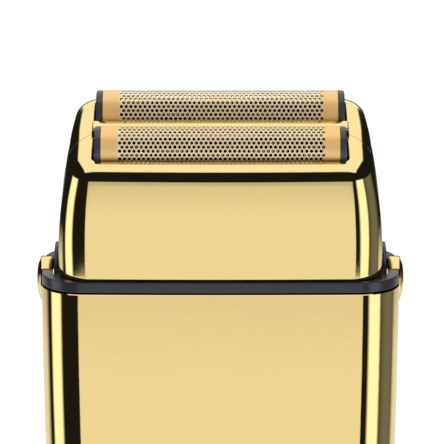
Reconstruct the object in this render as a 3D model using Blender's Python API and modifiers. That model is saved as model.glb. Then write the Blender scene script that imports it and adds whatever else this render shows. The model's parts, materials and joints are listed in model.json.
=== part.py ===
"""A double-foil shaver, modelled as the separate pieces it is put together from.

Lengths in this file are millimetres and are turned into Blender's metres by the helpers.
X runs across the shaver, -Y is its front, and +Z runs up the handle to the foils.
The origin is the middle of the flat base. Pieces of the head that follow the leaning
deck are placed in the deck's own frame: u across, v towards the back, n out of the deck.
"""

from math import copysign, cos, pi, radians, sin

import bmesh
import bpy
from mathutils import Matrix, Vector

MM = 0.001
GAP = 0.3

# Driving dimensions of the handle.
BAND_TOP = 118.5
BAND_HEIGHT = 1.9
BAND_HALF_WIDTH = 31.9
BAND_HALF_DEPTH = 12.3
BASE_HALF_WIDTH = 27.8
BASE_HALF_DEPTH = 12.0
GRIP_SWELL = 1.2
HANDLE_CORNER = 7.5
HANDLE_CROWN = 0.4
SHELL_WALL = 1.4
BASE_CAP_TOP = 6.0

# Driving dimensions of the head cover.
COVER_HALF_WIDTH = 28.8
COVER_HALF_DEPTH = 11.5
COVER_TOP_HALF_WIDTH = 26.9
COVER_TOP_HALF_DEPTH = 13.4
COVER_CORNER = 5.5
COVER_TOP_CORNER = 5.7
COVER_WALL = 1.0
COVER_CROWN = 0.4
DECK_TILT = radians(20.0)
DECK_MIDDLE_Y = -0.6
DECK_MIDDLE_HEIGHT = 24.4
DECK_EDGE_SIDE = 4.0
DECK_EDGE_FACE = 2.6
DECK_EDGE_DROP = 3.0
DECK_SHIFT = 0.4
DIVIDER_RISE = 1.3
DIVIDER_HALF_WIDTH = 1.25
DIVIDER_ROUND = 0.4

# Driving dimensions of the foils and cutters, in the deck's frame.
FOIL_PITCH = 11.9
FOIL_MIDDLE = 0.75
FOIL_RADIUS = 3.7
FOIL_LENGTH = 42.0
FOIL_SHEET = 0.3
FOIL_AXIS = 0.3
FOIL_FOOT = -2.2
CAP_THICK = 1.2
CAP_LOW = -4.3
CAP_STEP = -3.1
CAP_TOE = 0.95
SLOT_MARGIN = 0.35
CUTTER_RADIUS = 3.05
CUTTER_BORE = 2.05
CUTTER_FOOT = -1.9
CUTTER_LENGTH = 37.0
CUTTER_SLITS = 11

# Driving dimensions of the release buttons.
BUTTON_RADIUS = 4.05
BUTTON_DROP = 2.6
BUTTON_OUT = 32.3
BUTTON_DOME = 0.7
BUTTON_IN = 30.1
STEM_RADIUS = 1.7
STEM_IN = 25.3
BEZEL_RADIUS = 6.6
BEZEL_MIDDLE = 29.35
BUTTON_HOLE = 4.4

# Driving dimensions of the drive.
MOTOR_RADIUS = 9.4
MOTOR_LOW = 80.0
MOTOR_HIGH = 107.0
THROW = 0.8
BRIDGE_LOW = 121.6
BRIDGE_THICK = 2.0
POST_FEET = {"front": -4.6, "rear": 6.8}
POST_RADIUS = 1.6
POST_PIN = 0.85
POST_LEAN = 0.6
DECK_PLATE_LOW = 114.9
DECK_PLATE_HIGH = 116.3

# Driving dimensions of the cell and the board.
CELL_LOW = 13.2
CELL_Y = 1.6
BOARD_FACE = -8.0
BOARD_BACK = -6.8
BOARD_TOP = 74.0

# Driving dimensions of the power slider.
SLIDER_HEIGHT = 66.0
LIGHT_HEIGHT = 47.0
SLIDER_TRAVEL = 4.0

HANDLE_TOP = BAND_TOP - BAND_HEIGHT - GAP
COVER_LOW = BAND_TOP + GAP
BUTTON_HEIGHT = BAND_TOP - BUTTON_DROP
DECK_MIDDLE_Z = BAND_TOP + DECK_MIDDLE_HEIGHT
FOIL_ROWS = {"front": FOIL_MIDDLE - FOIL_PITCH / 2, "rear": FOIL_MIDDLE + FOIL_PITCH / 2}
SIDES = {"left": -1, "right": 1}
SLOT_HALF_LENGTH = FOIL_LENGTH / 2 + CAP_THICK + SLOT_MARGIN
SLOT_HALF_WIDTH = FOIL_RADIUS + GAP
ROUND = 28

# colour, metallic, roughness
FINISHES = {
    "gold": ((0.86, 0.66, 0.26), 1.0, 0.08),
    "foil_gold": ((0.86, 0.62, 0.30), 1.0, 0.25),
    "gloss_black": ((0.02, 0.02, 0.025), 0.0, 0.12),
    "satin_black": ((0.03, 0.03, 0.035), 0.0, 0.45),
    "rubber": ((0.025, 0.025, 0.025), 0.0, 0.8),
    "steel": ((0.62, 0.62, 0.63), 1.0, 0.28),
    "zinc": ((0.70, 0.71, 0.72), 1.0, 0.38),
    "board_green": ((0.03, 0.22, 0.10), 0.0, 0.4),
    "cell_wrap": ((0.07, 0.16, 0.40), 0.0, 0.35),
    "wire_red": ((0.55, 0.03, 0.03), 0.0, 0.5),
    "wire_black": ((0.03, 0.03, 0.03), 0.0, 0.5),
    "lens": ((0.85, 0.90, 0.95), 0.0, 0.1),
}


def clear_scene():
    for existing in list(bpy.data.objects):
        bpy.data.objects.remove(existing, do_unlink=True)


def finish(name):
    """The material of one finish, made the first time that it is asked for."""
    found = bpy.data.materials.get(name)
    if found:
        return found
    colour, metallic, roughness = FINISHES[name]
    material = bpy.data.materials.new(name)
    material.use_nodes = True
    shader = material.node_tree.nodes["Principled BSDF"]
    shader.inputs["Base Color"].default_value = (*colour, 1.0)
    shader.inputs["Metallic"].default_value = metallic
    shader.inputs["Roughness"].default_value = roughness
    material.diffuse_color = (*colour, 1.0)
    return material


def collection(name):
    made = bpy.data.collections.new(name)
    bpy.context.scene.collection.children.link(made)
    return made


def place(obj, name, finish_name, home, parent=None):
    """Name an object, give it its finish, and put it in its collection and under its parent."""
    obj.name = name
    obj.data.name = name
    obj.data.materials.clear()
    obj.data.materials.append(finish(finish_name))
    for holder in list(obj.users_collection):
        holder.objects.unlink(obj)
    home.objects.link(obj)
    if parent:
        obj.parent = parent
    return obj


def part(shape, name, finish_name, parent=None):
    """A sub-part of the shaver, from a bmesh."""
    mesh = bpy.data.meshes.new(name)
    shape.to_mesh(mesh)
    shape.free()
    mesh.shade_smooth()
    mesh.set_sharp_from_angle(angle=radians(32))
    obj = bpy.data.objects.new(name, mesh)
    return place(obj, name, finish_name, SHAVER, parent)


def tool(shape, name, parent=None):
    """A hidden cutter or joining shape, from a bmesh."""
    mesh = bpy.data.meshes.new(name)
    shape.to_mesh(mesh)
    shape.free()
    obj = bpy.data.objects.new(name, mesh)
    place(obj, name, "satin_black", CUTTERS, parent)
    obj.hide_render = True
    obj.display_type = "WIRE"
    return obj


def combine(obj, other, operation="DIFFERENCE"):
    modifier = obj.modifiers.new(f"{operation.lower()}_{other.name}", "BOOLEAN")
    modifier.object = other
    modifier.operation = operation
    return obj


def bevel(obj, width, segments=2, angle=40):
    modifier = obj.modifiers.new("edge_round", "BEVEL")
    modifier.width = width * MM
    modifier.segments = segments
    modifier.limit_method = "ANGLE"
    modifier.angle_limit = radians(angle)
    return obj


def wall(obj, thickness):
    """Give an open surface its thickness, inwards."""
    modifier = obj.modifiers.new("wall", "SOLIDIFY")
    modifier.thickness = thickness * MM
    modifier.offset = -1
    modifier.use_even_offset = True
    return obj


def box(low, high):
    """A bmesh box between two corners."""
    low, high = Vector(low) * MM, Vector(high) * MM
    shape = bmesh.new()
    size = Matrix.Diagonal((*(high - low), 1))
    bmesh.ops.create_cube(shape, size=1, matrix=Matrix.Translation((low + high) / 2) @ size)
    return shape


def side_box(sign, x_span, y_span, z_span):
    """A bmesh box on the left (sign -1) or the right (sign 1), with x counted outwards."""
    near, far = sorted((sign * x_span[0], sign * x_span[1]))
    return box((near, y_span[0], z_span[0]), (far, y_span[1], z_span[1]))


AXES = {
    "X": Matrix.Rotation(radians(90), 4, "Y"),
    "Y": Matrix.Rotation(radians(90), 4, "X"),
    "Z": Matrix(),
}


def cylinder(centre, radius, length, axis="Z", segments=ROUND):
    """A bmesh cylinder about its centre, along one axis."""
    shape = bmesh.new()
    bmesh.ops.create_cone(
        shape,
        cap_ends=True,
        segments=segments,
        radius1=radius * MM,
        radius2=radius * MM,
        depth=length * MM,
        matrix=Matrix.Translation(Vector(centre) * MM) @ AXES[axis],
    )
    return shape


def turned(name, finish_name, profile, where, axis="Z", closed=False, parent=None, segments=ROUND):
    """A piece turned about an axis. The profile is (radius, height), down its outer side."""
    shape = bmesh.new()
    points = [shape.verts.new((r * MM, 0, h * MM)) for r, h in profile]
    pairs = list(zip(points, points[1:]))
    if closed:
        pairs.append((points[-1], points[0]))
    for pair in pairs:
        shape.edges.new(pair)
    obj = part(shape, name, finish_name, parent)
    spin = obj.modifiers.new("turn", "SCREW")
    spin.steps = segments
    spin.render_steps = segments
    spin.use_merge_vertices = True
    spin.merge_threshold = 0.00001
    spin.use_smooth_shade = True
    obj.location = Vector(where) * MM
    obj.rotation_euler = AXES[axis].to_euler()
    return obj


def wire(name, finish_name, points, radius, parent=None, radii=None, resolution=2):
    """A wire, tube or coil along straight runs between points."""
    curve = bpy.data.curves.new(name, "CURVE")
    curve.dimensions = "3D"
    curve.bevel_depth = radius * MM
    curve.bevel_resolution = resolution
    curve.use_fill_caps = True
    run = curve.splines.new("POLY")
    run.points.add(len(points) - 1)
    for index, point in enumerate(points):
        run.points[index].co = (*(Vector(point) * MM), 1)
        run.points[index].radius = radii[index] if radii else 1.0
    obj = bpy.data.objects.new(name, curve)
    return place(obj, name, finish_name, SHAVER, parent)


def smooth_run(corners, steps=5):
    """Points of a smooth curve through a wire's own corner points."""
    run = []
    padded = [corners[0], *corners, corners[-1]]
    for before, here, after, beyond in zip(padded, padded[1:], padded[2:], padded[3:]):
        before, here, after, beyond = map(Vector, (before, here, after, beyond))
        for step in range(steps):
            t = step / steps
            run.append(
                0.5
                * (
                    2 * here
                    + (after - before) * t
                    + (2 * before - 5 * here + 4 * after - beyond) * t * t
                    + (3 * here - before - 3 * after + beyond) * t * t * t
                )
            )
    run.append(Vector(corners[-1]))
    return run


def coil_points(radius, length, turns, per_turn=10):
    """Points of a helix that climbs local Z from 0."""
    count = turns * per_turn
    return [
        (radius * cos(2 * pi * i / per_turn), radius * sin(2 * pi * i / per_turn), length * i / count)
        for i in range(count + 1)
    ]


def outline(half_width, half_depth, corner, crown=0.0, corner_steps=6, side_steps=2, face_steps=4):
    """The (x, y) points of a rounded rectangle with bowed long sides, from the right round."""
    straight_x = half_width - corner
    straight_y = half_depth - corner
    quarter = [(half_width, straight_y * i / side_steps) for i in range(side_steps)]
    for i in range(corner_steps + 1):
        turn = radians(90) * i / corner_steps
        quarter.append((straight_x + corner * cos(turn), straight_y + corner * sin(turn)))
    quarter += [(straight_x * (1 - i / face_steps), half_depth) for i in range(1, face_steps + 1)]
    quarter = [(x, y + crown * (1 - (x / half_width) ** 2) * (y / half_depth) ** 2) for x, y in quarter]
    back = quarter[::-1]
    ring = quarter[:-1] + [(-x, y) for x, y in back[:-1]]
    ring += [(-x, -y) for x, y in quarter[:-1]] + [(x, -y) for x, y in back[:-1]]
    return ring


def half_outline(half_width, half_depth, corner, crown, side):
    """The half of an outline in front (side -1) or behind (side 1), clear of the middle."""
    ring = outline(half_width, half_depth, corner, crown)
    half = len(ring) // 2
    run = ring[: half + 1] if side > 0 else ring[half:] + ring[:1]
    ends = (0, len(run) - 1)
    return [(x, side * GAP / 2 if i in ends else y) for i, (x, y) in enumerate(run)]


def loft(rings, closed=True, floor=False, roof=False):
    """A skin through rings of equal count, each (x, y, z) and anticlockwise seen from above."""
    shape = bmesh.new()
    rows = [[shape.verts.new(Vector(point) * MM) for point in ring] for ring in rings]
    count = len(rows[0])
    for lower, upper in zip(rows, rows[1:]):
        for i in range(count if closed else count - 1):
            j = (i + 1) % count
            shape.faces.new((lower[i], lower[j], upper[j], upper[i]))
    if floor:
        shape.faces.new(rows[0][::-1])
    if roof:
        shape.faces.new(rows[-1])
    return shape


def level(ring, height):
    return [(x, y, height) for x, y in ring]


def handle_size(height):
    """Half width and half depth of the handle at a height."""
    t = height / HANDLE_TOP
    half_width = BASE_HALF_WIDTH + (BAND_HALF_WIDTH - BASE_HALF_WIDTH) * sin(t * pi / 2)
    half_depth = BASE_HALF_DEPTH + (BAND_HALF_DEPTH - BASE_HALF_DEPTH) * t + GRIP_SWELL * sin(t * pi)
    return half_width, half_depth


def arch(radius, foot, steps=14):
    """The (v, n) points of an arch about the foil axis, from its rear foot over to its front."""
    points = [(radius, foot)]
    for i in range(steps + 1):
        turn = pi * i / steps
        points.append((radius * cos(turn), FOIL_AXIS + radius * sin(turn)))
    return points + [(-radius, foot)]


def prism(profile, low, high, row):
    """A bmesh prism of a (v, n) profile, along u between two ends, in a row of the deck."""
    shape = bmesh.new()
    ends = [[shape.verts.new(Vector((u, row + v, n)) * MM) for v, n in profile] for u in (low, high)]
    shape.faces.new(ends[0][::-1])
    shape.faces.new(ends[1])
    count = len(profile)
    for i in range(count):
        j = (i + 1) % count
        shape.faces.new((ends[0][i], ends[0][j], ends[1][j], ends[1][i]))
    bmesh.ops.recalc_face_normals(shape, faces=shape.faces)
    return shape


def deck_point(u, v, n):
    """World place of a point of the deck's frame."""
    y = DECK_MIDDLE_Y + v * cos(DECK_TILT) - n * sin(DECK_TILT)
    z = DECK_MIDDLE_Z + v * sin(DECK_TILT) + n * cos(DECK_TILT)
    return Vector((u, y, z))


def deck_edge_ring(share):
    """A ring of the deck's rounded edge, from the wall (share 0) to the flat (share 1).

    Its front stops short of upright and its back goes past it, so that it meets the wall."""
    flat = outline(
        COVER_TOP_HALF_WIDTH - DECK_EDGE_SIDE,
        COVER_TOP_HALF_DEPTH - DECK_EDGE_FACE,
        COVER_TOP_CORNER - DECK_EDGE_FACE,
        COVER_CROWN,
    )
    full = outline(COVER_TOP_HALF_WIDTH, COVER_TOP_HALF_DEPTH, COVER_TOP_CORNER, COVER_CROWN)
    ring = []
    for (u, v), (wide_u, wide_v) in zip(flat, full):
        lean = max(-1.0, min(1.0, wide_v / COVER_TOP_HALF_DEPTH))
        turn = (pi / 2 + DECK_TILT * lean) * (1 - share)
        across = v + (wide_v - v) * sin(turn) + DECK_SHIFT
        ring.append(deck_point(u + (wide_u - u) * sin(turn), across, -DECK_EDGE_DROP * (1 - cos(turn))))
    return ring


def cover_rings(steps=5, edge_steps=5):
    """Rings of the cover's outside, from its level bottom to the flat of its leaning deck."""
    foot = outline(COVER_HALF_WIDTH, COVER_HALF_DEPTH, COVER_CORNER, COVER_CROWN)
    top = deck_edge_ring(0)
    rings = []
    for i in range(steps):
        t = i / steps
        rings.append(
            [
                (x + (high.x - x) * t**1.6, y + (high.y - y) * t, COVER_LOW + (high.z - COVER_LOW) * t)
                for (x, y), high in zip(foot, top)
            ]
        )
    return rings + [deck_edge_ring(i / edge_steps) for i in range(edge_steps + 1)]


def build_cover(deck):
    """The polished cover with its two foil slots and the raised bar between them."""
    cover = part(loft(cover_rings(), roof=True), "head_cover", "gold")
    wall(cover, COVER_WALL)
    half, rise, edge = DIVIDER_HALF_WIDTH, DIVIDER_RISE, DIVIDER_ROUND
    bar = prism(
        [
            (half, -edge),
            (half, rise - edge),
            (half - edge, rise),
            (edge - half, rise),
            (-half, rise - edge),
            (-half, -edge),
        ],
        -SLOT_HALF_LENGTH,
        SLOT_HALF_LENGTH,
        FOIL_MIDDLE,
    )
    combine(cover, tool(bar, "divider_bar", deck), "UNION")
    for row, v in FOIL_ROWS.items():
        slot = box(
            (-SLOT_HALF_LENGTH, v - SLOT_HALF_WIDTH, -4), (SLOT_HALF_LENGTH, v + SLOT_HALF_WIDTH, 4)
        )
        combine(cover, tool(slot, f"{row}_slot", deck))
    for side, sign in SIDES.items():
        part(side_box(sign, (25.9, 27.4), (-3, 3), (120.4, 121.6)), f"head_catch_{side}", "steel")


def build_foil_frame(deck):
    """The moulded frame under the deck that the two foils float in."""
    ring = [(u, v + FOIL_MIDDLE) for u, v in outline(24.4, 10.6, 2.6)]
    frame = part(
        loft([level(ring, n) for n in (-2.7, -1.4)], floor=True, roof=True),
        "foil_frame",
        "satin_black",
        deck,
    )
    for row, v in FOIL_ROWS.items():
        slot = box(
            (-SLOT_HALF_LENGTH, v - SLOT_HALF_WIDTH, -5), (SLOT_HALF_LENGTH, v + SLOT_HALF_WIDTH, 5)
        )
        combine(frame, tool(slot, f"{row}_frame_slot", deck))


def build_foil(row, v, deck):
    """One arched foil with the moulded caps at its two ends."""
    shape = bmesh.new()
    profile = arch(FOIL_RADIUS, FOIL_FOOT)
    ends = [
        [shape.verts.new(Vector((u, v + across, n)) * MM) for across, n in profile]
        for u in (-FOIL_LENGTH / 2, FOIL_LENGTH / 2)
    ]
    for i in range(len(profile) - 1):
        shape.faces.new((ends[0][i], ends[1][i], ends[1][i + 1], ends[0][i + 1]))
    wall(part(shape, f"foil_{row}", "foil_gold", deck), FOIL_SHEET)
    half = FOIL_RADIUS
    toe = [(0, CAP_LOW), (half + CAP_TOE, CAP_LOW), (half + CAP_TOE, CAP_STEP)]
    cap_profile = toe + arch(half, CAP_STEP) + [(0, CAP_STEP)]
    inward = -copysign(1, v)
    cap_profile = [(across * inward, n) for across, n in cap_profile]
    for side, sign in SIDES.items():
        inner = sign * (FOIL_LENGTH / 2 + 0.1)
        outer = sign * (FOIL_LENGTH / 2 + CAP_THICK)
        cap = prism(cap_profile, min(inner, outer), max(inner, outer), v)
        part(cap, f"foil_cap_{row}_{side}", "gloss_black", deck)


def build_cutter(row, v, deck):
    """One slotted inner cutter, its spring, and the post that carries and drives it."""
    outer = arch(CUTTER_RADIUS, CUTTER_FOOT, 10)
    inner = arch(CUTTER_BORE, CUTTER_FOOT, 6)[::-1]
    cutter = part(
        prism(outer + inner, -CUTTER_LENGTH / 2, CUTTER_LENGTH / 2, v), f"cutter_{row}", "steel", deck
    )
    spine = box((-5, v - CUTTER_BORE - 0.3, -2.2), (5, v + CUTTER_BORE + 0.3, 0.5))
    combine(cutter, tool(spine, f"{row}_spine", deck), "UNION")
    combine(cutter, tool(cylinder((0, v, -1.1), 1.3, 2.6, segments=16), f"{row}_socket", deck))
    slits = bmesh.new()
    pitch = CUTTER_LENGTH / (CUTTER_SLITS + 1)
    for i in range(CUTTER_SLITS):
        u = (i - (CUTTER_SLITS - 1) / 2) * pitch
        place_at = Matrix.Translation(Vector((u, v, 2.6)) * MM)
        size = Matrix.Diagonal((0.7 * MM, 9 * MM, 4.2 * MM, 1))
        if abs(u) > 5.6:
            bmesh.ops.create_cube(slits, size=1, matrix=place_at @ size)
    combine(cutter, tool(slits, f"{row}_slits", deck))
    spring = wire(f"cutter_spring_{row}", "steel", coil_points(1.5, 4.0, 3), 0.22, deck)
    spring.location = Vector((0, v, -6.7)) * MM
    top = deck_point(0, v, -1.4)
    collar = deck_point(0, v, -7.0)
    shoulder = deck_point(0, v, -7.05)
    bend = deck_point(0, v - POST_LEAN, -9.0)
    foot = Vector((0, POST_FEET[row], BRIDGE_LOW + BRIDGE_THICK + GAP))
    ankle = foot + Vector((0, 0, 1))
    wire(
        f"drive_post_{row}",
        "satin_black",
        [foot, ankle, bend, shoulder, collar, top],
        POST_RADIUS,
        radii=[1.0] * 4 + [POST_PIN / POST_RADIUS] * 2,
        resolution=3,
    )


def build_bridge():
    """The oscillating bridge, and the two leaf springs that it swings on."""
    bridge = part(
        box((-13.0, -7.0, BRIDGE_LOW), (13.0, 9.2, BRIDGE_LOW + BRIDGE_THICK)),
        "drive_bridge",
        "satin_black",
    )
    opening = box(
        (-1.2 - 2 * THROW - 0.3, -1.2 - THROW - 0.4, BRIDGE_LOW - 1),
        (1.2 + 2 * THROW + 0.3, 1.2 + THROW + 0.4, BRIDGE_LOW + BRIDGE_THICK + 1),
    )
    combine(bridge, tool(opening, "bridge_slot"))
    bevel(bridge, 0.4)
    for side, sign in SIDES.items():
        leaf = box((-0.2, -4, DECK_PLATE_HIGH + GAP), (0.2, 4, BRIDGE_LOW - GAP))
        obj = part(leaf, f"drive_leaf_{side}", "steel")
        obj.location.x = sign * 11.5 * MM


def build_band():
    """The glossy shoulder band with its clearance for the buttons and their bezels."""
    outer = outline(BAND_HALF_WIDTH, BAND_HALF_DEPTH, HANDLE_CORNER, HANDLE_CROWN)
    low = BAND_TOP - BAND_HEIGHT
    band = part(
        loft([level(outer, low), level(outer, BAND_TOP)], floor=True, roof=True),
        "shoulder_band",
        "gloss_black",
    )
    inside = outline(27.0, 9.8, 4.5, 0.3)
    opening = loft([level(inside, low - 1), level(inside, BAND_TOP + 1)], floor=True, roof=True)
    combine(band, tool(opening, "band_opening"))
    for side, sign in SIDES.items():
        button = cylinder((sign * 33, 0, BUTTON_HEIGHT), BUTTON_HOLE, 8, "X")
        bezel = cylinder((sign * BEZEL_MIDDLE, 0, BUTTON_HEIGHT), BEZEL_RADIUS + GAP, 1.2, "X")
        stem = cylinder((sign * 28, 0, BUTTON_HEIGHT), STEM_RADIUS + 0.4, 6, "X", 16)
        for label, clearance in (("button", button), ("bezel", bezel), ("stem", stem)):
            combine(band, tool(clearance, f"band_{side}_{label}"))


def build_release(side, sign):
    """One release button: bezel, button on its stem, latch plate and return spring."""
    bezel = part(
        cylinder((sign * BEZEL_MIDDLE, 0, BUTTON_HEIGHT), BEZEL_RADIUS, 0.6, "X", 40),
        f"button_bezel_{side}",
        "gloss_black",
    )
    hole = cylinder((sign * BEZEL_MIDDLE, 0, BUTTON_HEIGHT), BUTTON_HOLE, 2, "X")
    combine(bezel, tool(hole, f"bezel_{side}_hole"))
    crown = [
        (BUTTON_RADIUS * sin(radians(90) * i / 6), BUTTON_OUT + BUTTON_DOME * cos(radians(90) * i / 6))
        for i in range(7)
    ]
    profile = crown + [
        (BUTTON_RADIUS, BUTTON_IN),
        (STEM_RADIUS, BUTTON_IN),
        (STEM_RADIUS, STEM_IN),
        (0, STEM_IN),
    ]
    button = turned(
        f"release_button_{side}", "gold", profile, (0, 0, BUTTON_HEIGHT), "Z", segments=28
    )
    button.rotation_euler = (0, sign * radians(90), 0)
    plate = side_box(sign, (24.0, 25.0), (-2.8, 2.8), (104.5, 123.4))
    latch = part(plate, f"release_latch_{side}", "steel")
    nose = side_box(sign, (24.4, 25.6), (-2.5, 2.5), (122.0, 123.1))
    combine(latch, tool(nose, f"latch_{side}_nose"), "UNION")
    spring = wire(f"latch_spring_{side}", "steel", coil_points(1.6, 3.6, 3), 0.22)
    spring.location = Vector((sign * 19.8, 0, 108.5)) * MM
    spring.rotation_euler = (0, sign * radians(90), 0)


def build_shells():
    """The front and rear shells of the handle, which meet along the sides."""
    heights = [BASE_CAP_TOP + GAP + (HANDLE_TOP - BASE_CAP_TOP - GAP) * i / 9 for i in range(10)]
    shells = {}
    for name, side in (("front_shell", -1), ("rear_shell", 1)):
        rings = []
        for height in heights:
            half_width, half_depth = handle_size(height)
            ring = half_outline(half_width, half_depth, HANDLE_CORNER, HANDLE_CROWN, side)
            rings.append(level(ring, height))
        shell = part(loft(rings, closed=False), name, "gold")
        wall(shell, SHELL_WALL)
        for end, sign in SIDES.items():
            notch = cylinder((sign * 31.5, 0, BUTTON_HEIGHT), BUTTON_HOLE, 6, "X")
            combine(shell, tool(notch, f"{name}_{end}_button"))
        shells[name] = shell
    return shells


def rounded_plate(half_width, half_height, corner, centre_z, low_y, high_y):
    """A plate with rounded corners that stands across Y."""
    ring = outline(half_width, half_height, corner, 0.0, 5, 1, 1)
    rings = [[(x, y, centre_z + z) for x, z in ring] for y in (low_y, high_y)]
    shape = loft(rings, floor=True, roof=True)
    bmesh.ops.recalc_face_normals(shape, faces=shape.faces)
    return shape


def build_slider(front_shell):
    """The power slider, its seat in the front shell, and the switch behind it."""
    face = -handle_size(SLIDER_HEIGHT)[1] - HANDLE_CROWN
    opening = rounded_plate(5.5 + GAP, 11.0 + GAP, 5.5, SLIDER_HEIGHT, face - 3, face + 4)
    combine(front_shell, tool(opening, "seat_opening"))
    seat_plate = rounded_plate(5.5, 11.0, 5.2, SLIDER_HEIGHT, face + 0.5, face + 1.9)
    seat = part(seat_plate, "slider_seat", "gloss_black")
    slot = box((-1.7, face - 1, SLIDER_HEIGHT - 5.2), (1.7, face + 4, SLIDER_HEIGHT + 5.2))
    combine(seat, tool(slot, "seat_slot"))
    middle = SLIDER_HEIGHT - SLIDER_TRAVEL / 2
    thumb_plate = rounded_plate(3.9, 5.6, 2.4, middle, face - 0.9, face + 0.2)
    thumb = part(thumb_plate, "power_slider", "gold")
    stem = box((-1.3, face - 0.1, middle - 2.2), (1.3, face + 3.0, middle + 2.2))
    combine(thumb, tool(stem, "slider_stem"), "UNION")
    switch = box((-3.2, face + 3.4, middle - 5.0), (3.2, face + 5.6, middle + 9.0))
    part(switch, "slide_switch", "satin_black")
    light_face = -handle_size(LIGHT_HEIGHT)[1] - HANDLE_CROWN
    combine(front_shell, tool(cylinder((0, light_face, LIGHT_HEIGHT), 1.5, 8, "Y", 20), "light_hole"))
    turned(
        "light_lens",
        "lens",
        [(0, 0.2), (0.7, 0.12), (1.2, -0.1), (1.2, -2.6), (0, -2.6)],
        (0, light_face, LIGHT_HEIGHT),
        "Y",
        segments=20,
    )


def build_cell_and_board():
    """The circuit board, the rechargeable cell with its tabs, and the leads."""
    part(box((-8.5, BOARD_FACE, 44.0), (8.5, BOARD_BACK, BOARD_TOP)), "circuit_board", "board_green")
    turned(
        "battery_cell",
        "cell_wrap",
        [(0, 64.0), (2.6, 64.0), (2.6, 63.2), (6.9, 63.2), (6.9, CELL_LOW), (0, CELL_LOW)],
        (0, CELL_Y, 0),
        segments=24,
    )
    part(box((-3, 0.2, 64.4), (3, 3.0, 64.7)), "battery_tab_top", "steel")
    part(box((-4, -1.4, 12.6), (4, 4.6, 12.9)), "battery_tab_bottom", "steel")
    leads = {
        "motor_lead": [(3.0, -5.0, 79.5), (3.4, -5.6, 77.6), (4.4, -6.9, 76.4), (5.0, -7.4, 74.3)],
        "cell_lead": [(1.4, 1.6, 65.1), (3.2, 0.4, 67.6), (5.4, -3.4, 68.6), (6.0, -6.5, 67.4)],
        "socket_lead": [(1.4, -3.7, 9.6), (1.7, -5.3, 10.4), (2.4, -7.2, 16), (3.4, -7.4, 28), (4, -7.4, 43.7)],
    }
    for name, corners in leads.items():
        for colour, sign in (("red", 1), ("black", -1)):
            run = smooth_run([(sign * x, y, z) for x, y, z in corners], 3)
            wire(f"{name}_{colour}", f"wire_{colour}", run, 0.45)


def build_motor():
    """The motor, its end cap, shaft, and the eccentric that drives the bridge."""
    turned(
        "motor_can",
        "zinc",
        [
            (0, MOTOR_HIGH),
            (MOTOR_RADIUS - 0.8, MOTOR_HIGH),
            (MOTOR_RADIUS, MOTOR_HIGH - 0.8),
            (MOTOR_RADIUS, MOTOR_LOW + 3.3),
            (0, MOTOR_LOW + 3.3),
        ],
        (0, 0, 0),
    )
    turned(
        "motor_end_cap",
        "satin_black",
        [(0, MOTOR_LOW + 3.0), (MOTOR_RADIUS, MOTOR_LOW + 3.0), (MOTOR_RADIUS, MOTOR_LOW), (0, MOTOR_LOW)],
        (0, 0, 0),
    )
    turned(
        "motor_shaft",
        "steel",
        [(0, MOTOR_HIGH + 4.2), (1.0, MOTOR_HIGH + 4.2), (1.0, MOTOR_HIGH + GAP), (0, MOTOR_HIGH + GAP)],
        (0, 0, 0),
        segments=16,
    )
    hub_low = MOTOR_HIGH + 4.5
    hub = part(cylinder((0, 0, hub_low + 1.1), 3.2, 2.2), "drive_eccentric", "satin_black")
    pin_high = BRIDGE_LOW + BRIDGE_THICK - 0.2
    pin = cylinder((THROW, 0, (hub_low + 1 + pin_high) / 2), 1.2, pin_high - hub_low - 1, segments=20)
    combine(hub, tool(pin, "eccentric_pin"), "UNION")


def build_drive_plate():
    """The plate that closes the handle under the band, and the seal round the drive pin."""
    ring = outline(28.6, 10.5, 4.6, 0.3)
    plate = part(
        loft([level(ring, DECK_PLATE_LOW), level(ring, DECK_PLATE_HIGH)], floor=True, roof=True),
        "drive_plate",
        "satin_black",
    )
    combine(plate, tool(cylinder((0, 0, 116), 4.2, 6), "plate_bore"))
    for side, sign in SIDES.items():
        notch = side_box(sign, (22.4, 34), (-3.4, 3.4), (110, 119))
        combine(plate, tool(notch, f"plate_{side}_notch"))
        combine(plate, tool(cylinder((sign * 17.4, 7.4, 116), 1.3, 8, segments=16), f"plate_{side}_screw"))
        screw(f"plate_screw_{side}", (sign * 17.4, 7.4, DECK_PLATE_HIGH + GAP), 2.2, 1.3, 1.0, 7.0)
    turned(
        "drive_seal",
        "rubber",
        [
            (5.6, DECK_PLATE_HIGH + 1.1),
            (5.6, DECK_PLATE_HIGH + GAP),
            (4.6, DECK_PLATE_HIGH + GAP),
            (4.6, DECK_PLATE_HIGH + 0.7),
            (3.9, DECK_PLATE_HIGH + 1.6),
            (3.9, DECK_PLATE_HIGH + 2.2),
            (3.0, DECK_PLATE_HIGH + 3.2),
            (2.6, DECK_PLATE_HIGH + 4.0),
            (3.1, DECK_PLATE_HIGH + 4.0),
            (4.4, DECK_PLATE_HIGH + 2.8),
            (4.7, DECK_PLATE_HIGH + 1.8),
        ],
        (0, 0, 0),
        closed=True,
        segments=20,
    )


def screw(name, top_of_seat, head_radius, head_height, shank_radius, shank_length, down=True):
    """A screw that stands on its seat, with a turned pan head."""
    profile = [
        (0, head_height),
        (head_radius * 0.7, head_height),
        (head_radius, head_height * 0.55),
        (head_radius, 0),
        (shank_radius, 0),
        (shank_radius, -shank_length),
        (0, -shank_length),
    ]
    obj = turned(name, "steel", profile, top_of_seat, segments=16)
    if not down:
        obj.rotation_euler = (pi, 0, 0)
    return obj


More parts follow.
